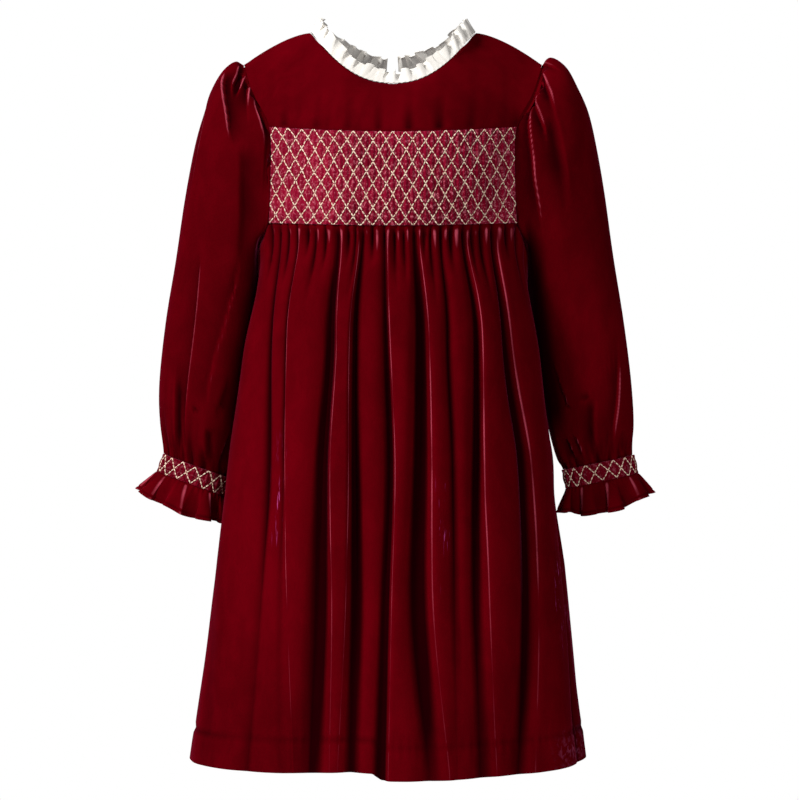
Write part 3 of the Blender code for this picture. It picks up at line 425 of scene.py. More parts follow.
def yoke_sheets(across, rows, back, span=(-1.0, 1.0)):
    """The outer and inner sheets of a yoke, from its seam up to the shoulders and neck."""
    corner = np.array(ARMHOLE[BACK_CORNER if back else YOKE_CORNER])
    columns = np.linspace(*span, across + 1)
    nearest = [np.argmin(np.abs(columns - s)) for s in (-NECK_SHARE, NECK_SHARE)]
    for k, s in zip(nearest, (-NECK_SHARE, NECK_SHARE)):
        if abs(columns[k] - s) < (span[1] - span[0]) / across:
            columns[k] = s
    bottom = seam_across(BACK_CHEST if back else CHEST_FRONT, corner, columns)
    out = np.abs(columns)
    on_neck = out <= NECK_SHARE + 1e-9
    neck_x = np.sign(columns) * NECK_HALF * out / NECK_SHARE
    tip_x = SHOULDER_HALF - NECK_HALF
    shoulder_x = np.sign(columns) * (NECK_HALF + tip_x * (out - NECK_SHARE) / (1 - NECK_SHARE))
    top = np.where(on_neck[:, None], neckline(neck_x, back), shoulder(shoulder_x))
    start, end = (BACK_CORNER, len(ARMHOLE)) if back else (YOKE_CORNER, SHOULDER_TIP)
    places = np.linspace(start, end, rows + 1)
    sides = []
    for k in (0, -1):
        if out[k] > 0.999:
            sides.append(armhole(places, np.sign(columns[k])))
        else:
            sides.append(np.linspace(bottom[k], top[k], rows + 1))
    patch = coons(bottom, top, *sides)
    v = np.linspace(0, 1, rows + 1)[:, None]
    bulge = YOKE_BULGE * np.sin(math.pi * v) * (1 - columns[None] ** 2)
    patch[..., 1] += bulge * (1 if back else -1)
    normal = sheet_normals(patch) * (-1 if back else 1)
    normal[0] = flattened(normal[0], 2)
    shoulder_columns = out > NECK_SHARE - 1e-9
    normal[-1, shoulder_columns] = flattened(normal[-1, shoulder_columns], 1)
    outer = patch.copy()
    inner = patch - normal * CLOTH
    for sheet in (outer, inner):
        sheet[0, :, 2] += SEAM_GAP / 2
        sheet[-1, shoulder_columns, 1] += SEAM_GAP * (0.5 if back else -0.5)
    return outer, inner


def open_back_slit(sheets, side):
    """Moves the centre edge of a back yoke half out to the edge of the back opening."""
    edge = 0 if side > 0 else -1
    top_x = BACK_SLIT_TOP[1] if side > 0 else BACK_SLIT_TOP[0]
    for sheet in sheets:
        rows = len(sheet)
        v = np.linspace(0, 1, rows)[:, None]
        slit = side * BACK_SLIT_HALF + (top_x - side * BACK_SLIT_HALF) * v**1.5
        near = np.clip(1 - np.abs(sheet[..., 0]) / BACK_SLIT_REACH, 0, 1)
        sheet[..., 0] += slit * near
        sheet[:, edge, 0] = slit[:, 0]


def sleeve_angles():
    """Angles round a sleeve, from the shoulder towards the front, with every second one a valley."""
    cap = math.radians(CAP_HALF_ANGLE)
    over = np.linspace(-cap, cap, 2 * CAP_GATHERS + 1)
    under = np.linspace(cap, 2 * math.pi - cap, 2 * UNDERARM_GATHERS + 1)
    return np.concatenate([over, under[1:-1]])


def section_frame(section):
    """A sleeve's section: centre, unit vector across, half width, half depth and the direction in
    which the sleeve runs on."""
    outer_x, outer_z, inner_x, inner_z, half_depth, centre_y = section
    across = np.array([outer_x - inner_x, 0, outer_z - inner_z]) / 2
    half_width = np.linalg.norm(across)
    e2 = across / half_width
    on = np.array([e2[2], 0, -e2[0]])
    on *= -np.sign(on[2])
    centre = np.array([(outer_x + inner_x) / 2, centre_y, (outer_z + inner_z) / 2])
    return centre, e2, half_width, half_depth, on


def ring(section, angle, along=0.0, grow=(0.0, 0.0)):
    """Points round an elliptical section at the angles asked for, moved on by along and grown in
    half width and half depth, and their outward normals."""
    centre, e2, half_width, half_depth, on = section_frame(section)
    a, b = half_width + grow[0], half_depth + grow[1]
    c, s = np.cos(angle)[:, None], np.sin(angle)[:, None]
    forward = np.array([0, -1.0, 0])
    along = np.broadcast_to(along, angle.shape)[:, None]
    points = centre + on * along + e2 * a * c + forward * b * s
    return points, unit(e2 * b * c + forward * a * s)


def armhole_at_angles(section, angle, side):
    """Points of the armhole curve that lie at these angles of the sleeve's first section."""
    places = np.linspace(0, len(ARMHOLE), CURVE_STEPS)
    curve = armhole(places, side)
    centre, e2, half_width, half_depth, _ = section_frame(section)
    along = ((curve - centre) @ e2) / half_width
    forward = -(curve[:, 1] - centre[1]) / half_depth
    around = np.unwrap(np.arctan2(forward, along))
    around -= around[0]
    return armhole(np.interp(np.mod(angle, 2 * math.pi), around, places), side)


def neck_loop(count):
    """Points round the neck seam from the back opening's one edge, round the front, to the
    other, evenly spaced along the seam."""
    start, end = BACK_SLIT_TOP
    turn = np.linspace(0, 1, CURVE_STEPS)
    back_one = neckline(start - (start + NECK_HALF) * np.sin(turn * math.pi / 2), True)
    front = neckline(-NECK_HALF * np.cos(turn * math.pi), False)
    back_two = neckline(NECK_HALF - (NECK_HALF - end) * (1 - np.cos(turn * math.pi / 2)), True)
    curve = np.concatenate([back_one, front[1:], back_two[1:]])
    arc = np.concatenate([[0], np.cumsum(np.linalg.norm(np.diff(curve, axis=0), axis=1))])
    at = np.linspace(0, arc[-1], count)
    return np.stack([np.interp(at, arc, curve[:, k]) for k in range(3)], -1)


def fold_edges(folds):
    """The shares at the five heights of the sharp edges beside the steep flanks."""
    n = len(FOLD_HEIGHTS)
    edges = []
    for row in folds:
        for side, first, power in ((-1, n + 3, row[-2]), (1, n + 6, row[-1])):
            if power >= STEEP:
                breadth = np.interp(range(n), (0, n // 2, n - 1), row[first : first + 3])
                edges.append([p + side * EDGE_AT * b / a for p, b, a in zip(row, breadth, HALF_ARCS)])
    return edges


def crease_columns(folds, gathers, each):
    """Shares at the five heights of columns that follow the folds and their edges, and which of
    the columns is such an edge."""
    edges = fold_edges(folds)
    places = np.array(sorted([*fold_places(folds, gathers + PLAIN_PLACES).tolist(), *edges]))
    count = len(places)
    tops = [row[0] for row in (*edges, *folds)]
    fixed = [k for k in range(count) if k in (0, count - 1) or places[k, 0] in tops]
    for k in range(1, places.shape[1]):
        places[:, k] = np.interp(places[:, 0], places[fixed, 0], places[fixed, k])
    index = np.linspace(0, count - 1, (count - 1) * each + 1)
    columns = np.stack([np.interp(index, np.arange(count), places[:, k]) for k in range(places.shape[1])], -1)
    is_edge = np.zeros(len(index))
    tops = [row[0] for row in edges]
    for k in range(count):
        is_edge[k * each] = float(places[k, 0] in tops)
    return columns, is_edge


def ripple(a, b, seed, count=5):
    """Soft uneven waves over two coordinates, about from -1 to 1, the same for the same seed."""
    chance = np.random.default_rng(seed)
    total = 0
    for _ in range(count):
        fa, fb = chance.uniform(0.5, 1.6, 2) * chance.choice([-1, 1], 2)
        total = total + np.sin(fa * a + fb * b + chance.uniform(0, 6.28))
    return total / count**0.5 / 1.2


def relaxed(patch, steps=400):
    """A patch with its inner points drawn tight between its fixed edges, like a soap film."""
    for _ in range(steps):
        near = patch[:-2, 1:-1] + patch[2:, 1:-1] + patch[1:-1, :-2] + patch[1:-1, 2:]
        patch[1:-1, 1:-1] = near / 4
    return patch


def fold_relief(share, z, edge_z, folds, gathers, half_arc):
    """How far the cloth dips below its smooth form. Each long fold has its own left and right
    flank, soft or steep, and the cloth between two of them is a round tube."""
    dip = np.zeros_like(share)
    below = edge_z - z
    head = HEAD_SHARE + (1 - HEAD_SHARE) * ease(0, HEAD_LENGTH, below)
    n = len(FOLD_HEIGHTS)
    long = [np.full_like(z, -1.0)]
    for row in folds:
        place = at_height(row[:n], z)
        depth = at_height(row[n : n + 3], z)
        left, right = at_height(row[n + 3 : n + 6], z), at_height(row[n + 6 : n + 9], z)
        off = (share - place) * half_arc
        away = np.where(off > 0, off / right, -off / left)
        power = np.where(off > 0, row[-1], row[-2])
        dip += head * depth * np.exp(-(away**power))
        long.append(place)
    long.append(np.full_like(z, 1.0))
    round_out = ease(30, 110, below) * (1 - 0.5 * ease(250, 450, below))
    for first, second in zip(long, long[1:]):
        u = np.clip((share - first) / (second - first), 0, 1)
        wide = np.clip((second - first) * half_arc / 60, 0, 1.3)
        dip -= TUBE_BULGE * wide * round_out * np.sin(math.pi * u) ** 0.8
    places = fold_places(folds, gathers)
    for k, gather in enumerate(gathers):
        row = places[np.argmin(np.abs(places[:, 0] - gather))]
        length = GATHER_LENGTH * (1 + GATHER_UNEVEN * math.sin(2.4 * k))
        depth = GATHER_DEPTH * head * (1 - ease(0.25 * length, length, below))
        width = GATHER_WIDTH * (1 + below / length)
        away = np.abs(share - at_height(row, z)) * half_arc / width
        dip += depth * np.exp(-(away**FOLD_SHARPNESS))
    return dip


def around(values, reach, closed):
    """The mean of each value and its neighbours along a row, that many each way."""
    mode = "wrap" if closed else "edge"
    wide = np.pad(values, ((0, 0), (reach + 1, reach)), mode=mode)
    total = np.cumsum(wide, axis=1)
    return (total[:, 2 * reach + 1 :] - total[:, : -2 * reach - 1]) / (2 * reach + 1)


def painted_fold_shading(dip, reach, closed):
    """Painted shading: 1 for painted shade where the cloth lies deep in a fold, -1 for a painted highlight
    along the edge of one, 0 on open cloth.
    """
    hollow = dip - around(dip, reach, closed)
    deep = np.clip((dip - DEEP_START) / DEEP_SPAN, 0, 1)
    return np.clip(hollow / MARK_RELIEF, -1, 0) + np.clip(0.8 * deep + hollow / (2 * MARK_RELIEF), 0, 1)


def fine_skirt(folds, gathers, rows, back, a_gather, seed):
    """The skirt's sheets as in its solid, with the finer creases between the folds, the ripples under the
    seam and the stitched hem, and the painted shade and highlights of its folds."""
    columns, is_edge = crease_columns(folds, gathers, a_gather)
    edge = skirt_top(columns[:, 0], back)
    level = np.linspace(0, 1, rows)[:, None] ** 1.3
    hem = HEM_Z + (0 if back else np.interp(columns[:, -1], *np.array(HEM_RISES).T))
    z = edge[None, :, 2] * (1 - level) + hem * level
    share = np.stack([at_height(row, z[:, k]) for k, row in enumerate(columns)], -1)
    form = skirt_form(z, share, back)
    start = skirt_form(edge[None, :, 2], columns[None, :, 0], back)
    form = form + (edge[None] - start) * (1 - ease(0, 0.2, level))[..., None]
    normal = sheet_normals(form[::-1])[::-1] * (-1 if back else 1)
    normal[0] = flattened(normal[0], 2)
    normal[:, [0, -1]] = flattened(normal[:, [0, -1]], 1)
    half_arc = 0.5 * np.linalg.norm(np.diff(form, axis=1), axis=-1).sum(1)[:, None]
    below = edge[None, :, 2] - z
    dip = fold_relief(share, z, edge[None, :, 2], folds, gathers, half_arc)
    across = share * half_arc
    head = bell(below - 9, 9.0)
    dip -= 2.8 * head * np.exp(-dip / 1.6)
    within = SMOCK_SHARE - np.abs(share)
    under_smocking = ease(0, 0.03, within)
    dip -= 1.3 * np.exp(-below / 7.0) * under_smocking
    if not back:
        diamond = DIAMONDS_ACROSS * columns[None, :, 0] / SMOCK_SHARE
        puff = np.abs(np.sin(math.pi / 2 * (diamond + 1))) ** 1.5
        dip += 1.6 * (1 - puff) * np.exp(-below / 6.0) * under_smocking
    fine = 0.5 + 0.5 * np.cos(across * 2 * math.pi / 4.3 + 1.5 * ripple(across / 9, z / 40, seed))
    dip += 1.0 * fine * np.exp(-below / 11.0)
    dip += 0.45 * ripple(across / 6.5, z / 90, seed + 1) * ease(0, 40, below)
    dip += 1.2 * ripple(across / 22, z / 70, seed + 2) * ease(30, 160, below)
    # Painted shade deep in the folds and painted highlight along their edges
    painted_shading = painted_fold_shading(dip, 6, False)
    # Painted highlights on the heads of the gathers just below the seam, strongest on flanks that face left
    length = 15 + 9 * ripple(share * 31, share * 17, seed + 5)
    heads = ease(1, 6, below) * bell(below, length) * ease(0, 0.05, within)
    rise = -np.gradient(dip, axis=1) / np.gradient(across, axis=1)
    heads = heads * (0.25 + np.clip(0.5 + 1.6 * rise, 0, 1))
    painted_shading = np.where(painted_shading < 0, -(painted_shading**2) * heads, painted_shading)
    # Painted highlight lines along the sharp fold edges, fainter lower down
    shown = np.clip(0.95 + 0.35 * ripple(z / 18, share * 9, seed + 4), 0, 1) * is_edge
    lines = shown * ease(4, 20, below) * (1 - 0.45 * ease(180, 420, below))
    painted_shading = painted_shading * (1 - lines) - lines
    from_hem = z - hem
    in_hem = 1 - ease(HEM_STITCH - 4, HEM_STITCH, from_hem)
    on_stitch = bell(from_hem - HEM_STITCH, 1.3)
    dip += 0.9 * on_stitch
    pucker = np.cos(across * 2 * math.pi / 8.5 + 2 * ripple(across / 14, z / 90, seed + 3))
    dip += 0.3 * pucker * bell(from_hem - HEM_STITCH, 7.0)
    dip -= 0.6 * in_hem
    dip *= 1 - ease(0.93, 1.0, np.abs(share))
    # Painted shade along the hem's stitch line
    stitched = 0.8 * on_stitch
    painted_shading = painted_shading * (1 - stitched) + stitched
    outer = form - normal * dip[..., None]
    cloth = CLOTH + (HEM_CLOTH - CLOTH) * in_hem
    inner = outer - normal * cloth[..., None]
    wide = sum(far * bell(z - height, reach) for far, height, reach in SIDE_SWELLS)
    wide = wide * np.sign(share) * ease(0.85, 1.0, np.abs(share))
    for sheet in (outer, inner):
        sheet[..., 0] += wide
        sheet[0, :, 2] -= SEAM_GAP / 2
        sheet[:, [0, -1], 1] += SIDE_LAP * (-1 if back else 1)
    return outer, inner, painted_shading


def sleeve_form(sections, side, t, angle):
    """The smooth form of a sleeve at places t down its sections and angles round it."""
    places = np.arange(len(sections))
    first, _ = ring(sections[0], angle)
    shift = armhole_at_angles(sections[0], angle, side) - first
    form = []
    for at in t:
        points, _ = ring(through(places, sections, at), angle)
        form.append(points + shift * (1 - ease(0, CAP_FADE_ROWS, at)))
    return np.array(form)


def lapped_fold(form, normal, fold, sections, side):
    """The dip of one fold that laps over along a curve: steep beyond the curve, then running out,
    with a low ridge before it. A minus sign before the depth laps it the other way."""
    depth, steep, soft, *path = fold
    knots = np.arange(len(path) // 2)
    at = np.linspace(0, knots[-1], 41)
    t, turn = through(knots, path[::2], at), np.radians(through(knots, path[1::2], at))
    curve = np.array([sleeve_form(sections, side, [a], np.array([b]))[0, 0] for a, b in zip(t, turn)])
    ahead = unit(np.gradient(curve, axis=0))
    gaps = np.linalg.norm(form[:, :, None] - curve, axis=-1)
    nearest = gaps.argmin(-1)
    offset = form - curve[nearest]
    beside = (offset * unit(np.cross(ahead[nearest], normal))).sum(-1) * side * np.sign(depth)
    past = np.abs((offset * ahead[nearest]).sum(-1))
    share = nearest / 40
    fade = ease(-0.05, 0.2, share) * ease(0, 0.5, 1 - share) * bell(past, 7.0)
    valley = ease(-steep / 2, steep, beside) * np.exp(-((np.maximum(beside - steep, 0) / soft) ** 1.3))
    ridge = 0.2 * np.exp(-np.abs(beside + steep / 2) / (0.6 * soft))
    # A painted highlight line along the fold's edge
    line = fade * bell(beside + steep / 2, 1.1) * np.clip(abs(depth) / 3.5, 0, 1)
    line = line * np.clip(1.9 - 0.5 * steep, 0, 1)
    # Painted shade in the fold's valley
    dark = fade * valley * np.clip(abs(depth) / 5, 0, 1)
    return np.array([abs(depth) * fade * (valley - ridge), dark, line])


def fine_sleeve(sections, side, folds, rows, per, seed):
    """A sleeve's sheets as in its solid, with the long folds seen in it and short uneven gathers
    at both ends."""
    base = sleeve_angles()
    count = len(base)
    index = np.arange(count * per) / per
    cap_end = math.radians(CAP_HALF_ANGLE)
    angle = np.interp(index, np.arange(count + 1), [*base, 2 * math.pi - cap_end])
    turn = np.where(angle > math.pi, angle - 2 * math.pi, angle)
    last = len(sections) - 1
    t = last * np.linspace(0, 1, rows)
    smooth = sleeve_form(sections, side, t, angle)
    next_round = np.roll(smooth, -1, axis=1) - np.roll(smooth, 1, axis=1)
    normal = unit(np.cross(next_round, np.gradient(smooth, axis=0))) * side
    normal[-1] = ring(sections[-1], angle)[1]
    chance = np.random.default_rng(seed)
    down, left = t[:, None], last - t[:, None]
    dip, dark, line = np.zeros((3, *smooth.shape[:2]))
    gathered = (
        (down, CAP_GATHER, CAP_REACH, CAP_GATHER_WIDTH),
        (left, WRIST_GATHER, WRIST_REACH, WRIST_GATHER_WIDTH),
    )
    for ends, depths, lengths, width in gathered:
        middles = np.linspace(-math.pi, math.pi, GATHERS_ROUND, endpoint=False)
        for middle in middles + chance.uniform(-0.07, 0.07, GATHERS_ROUND):
            depth, reach = chance.uniform(*depths), chance.uniform(*lengths)
            off = np.abs(np.mod(angle - middle + math.pi, 2 * math.pi) - math.pi)
            away = off / (width * (1 + 0.5 * ends / reach))
            on = ease(0, 0.3, cap_end - abs(middle)) if ends is down else 1.0
            gather = on * np.exp(-(away**1.4)) * bell(ends, reach)
            dip = dip + depth * gather
            # Painted shade in each gather, and a painted highlight beside it
            dark = dark + 0.22 * depth * gather
            beside_it = on * bell(away - 1.9, 0.5) * bell(ends, reach)
            line = np.maximum(line, 0.45 * beside_it * depth / 4)
    for fold in folds:
        mirrored = list(fold)
        mirrored[0] = -fold[0] * 0.8
        mirrored[4::2] = [352.0 - a for a in fold[4::2]]
        for one in (fold,) if max(fold[4::2]) > 112.0 else (fold, mirrored):
            more, deep, edge_line = lapped_fold(smooth, normal, one, sections, side)
            dip, dark, line = dip + more, dark + deep, np.maximum(line, edge_line)
    rise = ease(0, 0.6, down)
    arc = angle[None] * 42.0
    along = down * 33.0
    dip = dip + rise * 0.4 * ripple(arc / 7, along / 90, seed + 1)
    dip = dip + rise * 1.5 * ripple(arc / 20, along / 90, seed + 2) * ease(0, 1.5, left)
    begins, full, until, ends_at = FACES_SKIRT
    turned_in = ease(begins, full, np.degrees(angle)) * (1 - ease(until, ends_at, np.degrees(angle)))
    shade = (0.95 if side > 0 else 0.5) * turned_in * ease(0.8, 2.0, down) * (1 - ease(8.2, 9.4, down))
    # Painted shade in the folds and gathers, and on the side turned in to the skirt, less the painted
    # highlight lines
    painted_shading = np.clip(np.maximum(dark, shade), 0, 1)
    painted_shading = painted_shading * (1 - line) - line
    tight = np.exp(-left / 0.25) + 0.6 * np.exp(-down / 0.3) * ease(0, 0.35, cap_end - np.abs(turn))
    dip = dip + 0.5 * tight * (0.5 + 0.5 * np.cos(angle * 92 + 1.5 * np.sin(5 * angle)))
    outer = smooth - normal * dip[..., None]
    inner = outer - normal * CLOTH
    far, height, reach = SLEEVE_SWELL
    wide = far * bell(smooth[..., 2] - height, reach) * turned_in * ease(0.3, 1.5, down)
    for sheet in (outer, inner):
        sheet[..., 0] -= side * wide
        sheet[0, :, 0] += side * SLEEVE_SEAM_GAP
    return outer, inner, painted_shading


def smock_relief(i, j, height, pleat_depth):
    """Smocked cloth: diamonds that stand proud between the lines of stitching, over fine upright
    pleats. i and j count half diamonds across and down."""
    puff = np.abs(0.5 * (np.cos(math.pi * j) - np.cos(math.pi * i))) ** 0.75
    pinch = 0.16 * np.sin(math.pi * i) * np.cos(math.pi * j) + 0.05 * ripple(2 * i, j, 6)
    pleat = 0.5 + 0.5 * np.cos(2 * math.pi * PLEATS * (i + pinch))
    return height * puff + pleat_depth * (pleat - 0.7)


def fine_smocked_panel(per_i, per_j):
    columns = DIAMONDS_ACROSS * 2 * per_i + 1
    rows = DIAMOND_HALF_ROWS * per_j + 1
    share = np.linspace(-1, 1, columns)
    low = seam_across(WAIST_FRONT, np.array(ARMHOLE[SMOCK_CORNER]), share)
    high = seam_across(CHEST_FRONT, np.array(ARMHOLE[YOKE_CORNER]), share)
    places = np.linspace(SMOCK_CORNER, YOKE_CORNER, rows)
    patch = coons(low, high, armhole(places, -1.0), armhole(places, 1.0))
    normal = sheet_normals(patch)
    normal[[0, -1]] = flattened(normal[[0, -1]], 2)
    i = np.arange(columns)[None] / per_i
    j = np.arange(rows)[:, None] / per_j
    rim = np.minimum(np.minimum(i, DIAMONDS_ACROSS * 2 - i), np.minimum(j + 1, DIAMOND_HALF_ROWS - j) + 0.2)
    relief = smock_relief(i, j, PUFF, 1.2) * ease(-0.2, 0.6, rim)
    outer = patch + normal * relief[..., None]
    inner = patch - normal * CLOTH
    for sheet in (outer, inner):
        sheet[0, :, 2] += SEAM_GAP / 2
        sheet[-1, :, 2] -= SEAM_GAP / 2
    return outer, inner, normal


def fine_cuff(section, per_i, per_j):
    columns = CUFF_DIAMONDS * 2 * per_i
    angle = np.linspace(0, 2 * math.pi, columns, endpoint=False)
    i = np.arange(columns)[None] / per_i
    j = np.arange(2 * per_j + 1)[:, None] / per_j
    outer, inner, normal = [], [], []
    for along in SEAM_GAP + (CUFF_HEIGHT - SEAM_GAP) * j[:, 0] / 2:
        points, normals = ring(section, angle, along)
        outer.append(points)
        inner.append(points - normals * (CLOTH + CUFF_PUFF))
        normal.append(normals)
    outer, inner, normal = np.array(outer), np.array(inner), np.array(normal)
    relief = smock_relief(i, j, CUFF_PUFF, 0.6) - CUFF_PUFF * 0.8
    return outer + normal * relief[..., None], inner, normal


def fine_cuff_frill(section, per_wave, rows, seed):
    angle = np.linspace(0, 2 * math.pi, CUFF_FRILL_WAVES * per_wave, endpoint=False)
    reach = CUFF_FRILL - CUFF_FRILL_LIFT * np.cos(angle) ** 2
    reach = reach + 0.9 * np.sin(3 * angle + seed) + 0.7 * np.sin(7 * angle + 2 * seed)
    outer, inner, painted_shading = [], [], []
    for level in np.linspace(0, 1, rows):
        along = CUFF_HEIGHT + SEAM_GAP + reach * level
        spread = level**0.8
        grow = (CUFF_FRILL_FLARE[0] * spread, CUFF_FRILL_FLARE[1] * spread)
        points, normals = ring(section, angle, along, grow)
        tangent = unit(np.roll(points, -1, axis=0) - np.roll(points, 1, axis=0))
        phase = CUFF_FRILL_WAVES * angle
        sway = 0.5 * np.sin(2 * angle + seed) + 0.35 * np.sin(5 * angle + 2 * seed)
        lift = 0.55 + 0.75 * np.sin(1.5 * angle + seed) ** 2
        wave = np.cos(phase + 1.6 * sway * level) * CUFF_FRILL_WAVE * level * lift
        wave = wave + 1.6 * level * np.cos(2 * phase + 1.0 + seed) * np.sin(angle + seed)
        fine = 0.45 * np.exp(-level / 0.22) * np.cos(CUFF_FRILL_WAVES * 5 * angle)
        stitched = bell((level - FRILL_STITCH) * CUFF_FRILL, 0.9)
        fold = tangent * (3.4 * level * lift * np.sin(2 * phase + 2 * sway * level))[:, None]
        points = points + normals * (wave + fine - 0.7 * stitched - 0.6)[:, None] + fold
        # Painted highlight along one side of each wave's crest, painted shade in the troughs and along the
        # stitch line
        beside_crest = 1 - np.cos(phase + 1.6 * sway * level - 0.8)
        uneven = 0.8 + 0.2 * np.sin(9 * angle + 5 * level)
        crest = np.exp(-beside_crest / 0.09) * uneven * ease(0, 0.1, level)
        hollow = np.clip(-wave / CUFF_FRILL_WAVE, 0, 1) * 0.9 * (1 - 0.5 * level)
        painted_shading.append(np.maximum(hollow, 0.5 * stitched) - crest * (1 - stitched))
        outer.append(points)
        inner.append(points - normals * CLOTH)
    return np.array(outer), np.array(inner), np.array(painted_shading)


def fine_neck_frill(per_wave, rows):
    columns = NECK_FRILL_WAVES * per_wave + 1
    seam = neck_loop(columns)
    inward = -np.stack([seam[:, 0], seam[:, 1] - NECK_Y, np.zeros(columns)], -1)
    inward = unit(inward)
    stand = unit(inward * NECK_FRILL_IN + np.array([0, 0, NECK_FRILL_UP]))
    ahead = unit(np.gradient(seam, axis=0))
    outward = unit(np.cross(stand, ahead))
    outward *= np.sign(-(outward * inward).sum(1))[:, None]
    index = np.arange(columns) / per_wave
    wander = 1.5 * np.sin(index * 0.83) + 1.0 * np.sin(index * 2.1 + 1)
    lively = 0.62 + 0.30 * np.sin(index * 1.3) + 0.22 * np.sin(index * 2.9 + 2)
    ends = ease(0, 0.8, np.minimum(index, NECK_FRILL_WAVES - index))
    tall = 1 - 0.07 * (1 + np.sin(index * 1.7)) - 0.05 * np.cos(2 * math.pi * index)
    tall = tall - 0.04 * np.sin(index * 2.63 + 1)
    outer, inner = [], []
    for level in np.linspace(0, 1, rows):
        up = NECK_FRILL_GAP + NECK_FRILL * level * tall
        phase = 2 * math.pi * index + wander * level
        wave = np.cos(phase) * NECK_FRILL_WAVE * level * lively + 0.5 * level * np.cos(2.3 * phase + 1)
        fine = 0.3 * np.exp(-level / 0.15) * np.cos(phase * 3)
        fold = ahead * (1.7 * level * ends * np.sin(2 * phase))[:, None]
        points = seam + stand * up[:, None] + outward * (wave + fine)[:, None] + fold
        cloth = FRILL_CLOTH * (0.75 + 0.35 * math.exp(-((level - 1) / 0.05) ** 2))
        outer.append(points)
        inner.append(points - outward * cloth)
    return np.array(outer), np.array(inner)


def fine_yoke(across, rows, back, span=(-1.0, 1.0), seed=0):
    """A yoke's sheets as in its solid, drawn smooth between its seams, with faint creases."""
    outer, inner = yoke_sheets(across, rows, back, span)
    smooth = relaxed(outer.copy())
    v = np.linspace(0, 1, rows + 1)[:, None]
    columns = np.linspace(*span, across + 1)[None]
    bulge = 6.5 * np.sin(math.pi * v) * (1 - columns**2) * (1 if back else -1)
    smooth[1:-1, 1:-1, 1] += bulge[1:-1, 1:-1]
    normal = sheet_normals(smooth) * (-1 if back else 1)
    rim = np.sin(math.pi * v) * ease(0, 0.25, 1 - np.abs(columns))
    crease = 0.5 * ripple(smooth[..., 0] / 9, smooth[..., 2] / 30, seed) * rim
    drawn = ripple(smooth[..., 0] / 3.2, smooth[..., 2] / 40, seed + 5) * np.exp(-v / 0.28) * ease(0, 0.05, v)
    crease = crease + (0 if back else 0.7) * drawn
    # Painted shade in the drawn creases of the front yoke and along each yoke's lower seam, and painted
    # highlight on the creases' crests
    painted_shading = (0 if back else 0.8) * np.clip(-drawn, 0, 1) + 0.25 * np.exp(-v / 0.04)
    painted_shading = painted_shading - (0 if back else 0.35) * np.clip(drawn - 0.5, 0, 1)
    thickness = np.linalg.norm(outer - inner, axis=-1, keepdims=True)
    lean = unit(outer - inner)
    kept = np.zeros(normal.shape[:2] + (1,))
    kept[[0, -1]] = 1
    kept[:, [0, -1]] = 1
    direction = unit(lean * kept + normal * (1 - kept))
    smooth = smooth + direction * crease[..., None]
    return smooth, smooth - direction * thickness, painted_shading


def sample(grid, i, j, per_i, per_j, closed=False):
    """Values of a fine grid at lattice places, i across and j down."""
    rows, columns = grid.shape[:2]
    a = np.clip(j * per_j, 0, rows - 1.001)
    b = i * per_i if closed else np.clip(i * per_i, 0, columns - 1.001)
    r, c = np.floor(a).astype(int), np.floor(b).astype(int)
    u, v = (a - r)[..., None], (b - c)[..., None]
    c0, c1 = (c % columns, (c + 1) % columns) if closed else (c, c + 1)
    low = grid[r, c0] * (1 - v) + grid[r, c1] * v
    high = grid[r + 1, c0] * (1 - v) + grid[r + 1, c1] * v
    return low * (1 - u) + high * u


def stitches(grid, normal, across, down, per_i, per_j, radius, dashes, closed, seed):
    """Stitches laid along the sides of every diamond, as points and faces."""
    chance = np.random.default_rng(seed)
    rings = np.array([-1.0, -0.75, 0.0, 0.75, 1.0])
    girth = np.array([0.25, 0.8, 1.0, 0.8, 0.25])
    turns = np.linspace(0, 2 * math.pi, 6, endpoint=False)
    points, faces = [], []
    for j in range(down):
        for i in range(across + (0 if closed else 1)):
            if (i + j) % 2:
                continue
            for step in (-1, 1):
                if not closed and not 0 <= i + step <= across:
                    continue
                for k in range(dashes):
                    at = (k + 0.5 + chance.uniform(-0.06, 0.06)) / dashes
                    half = 0.41 / dashes
                    pi = np.array([i + step * (at - half), i + step * (at + half)])
                    pj = np.array([j + at - half, j + at + half])
                    stray_i, stray_j = 0.07 * ripple(pi, pj, seed), 0.09 * ripple(pi, pj, seed + 1)
                    pi, pj = pi + stray_i + chance.uniform(-0.03, 0.03, 2), pj + stray_j
                    ends = sample(grid, pi, pj, per_i, per_j, closed)
                    half_way = pi.mean(keepdims=True), pj.mean(keepdims=True)
                    middle = sample(grid, *half_way, per_i, per_j, closed)[0]
                    up = unit(sample(normal, *half_way, per_i, per_j, closed)[0])
                    top = max((ends[0] - middle) @ up, (ends[1] - middle) @ up, 0.0)
                    centre = (ends[0] + ends[1]) / 2
                    centre = centre + up * (radius * 0.35 + max(0.0, (middle - centre) @ up) + 0.3 * top)
                    along = (ends[1] - ends[0]) / 2
                    side = unit(np.cross(along, up))
                    thick = radius * chance.uniform(0.88, 1.12)
                    base = len(points)
                    for r, g in zip(rings, girth):
                        for turn in turns:
                            spoke = side * math.cos(turn) + up * 0.8 * math.sin(turn)
                            bend = up * (-0.35 * radius * r * r)
                            points.append(centre + along * r + bend + spoke * thick * g)
                    n = len(turns)
                    for a in range(len(rings) - 1):
                        for b in range(n):
                            faces.append([base + a * n + b, base + a * n + (b + 1) % n,
                                          base + (a + 1) * n + (b + 1) % n, base + (a + 1) * n + b])
                    faces.append([base + b for b in range(n)][::-1])
                    faces.append([base + (len(rings) - 1) * n + b for b in range(n)])
    return np.array(points), faces


# Materials

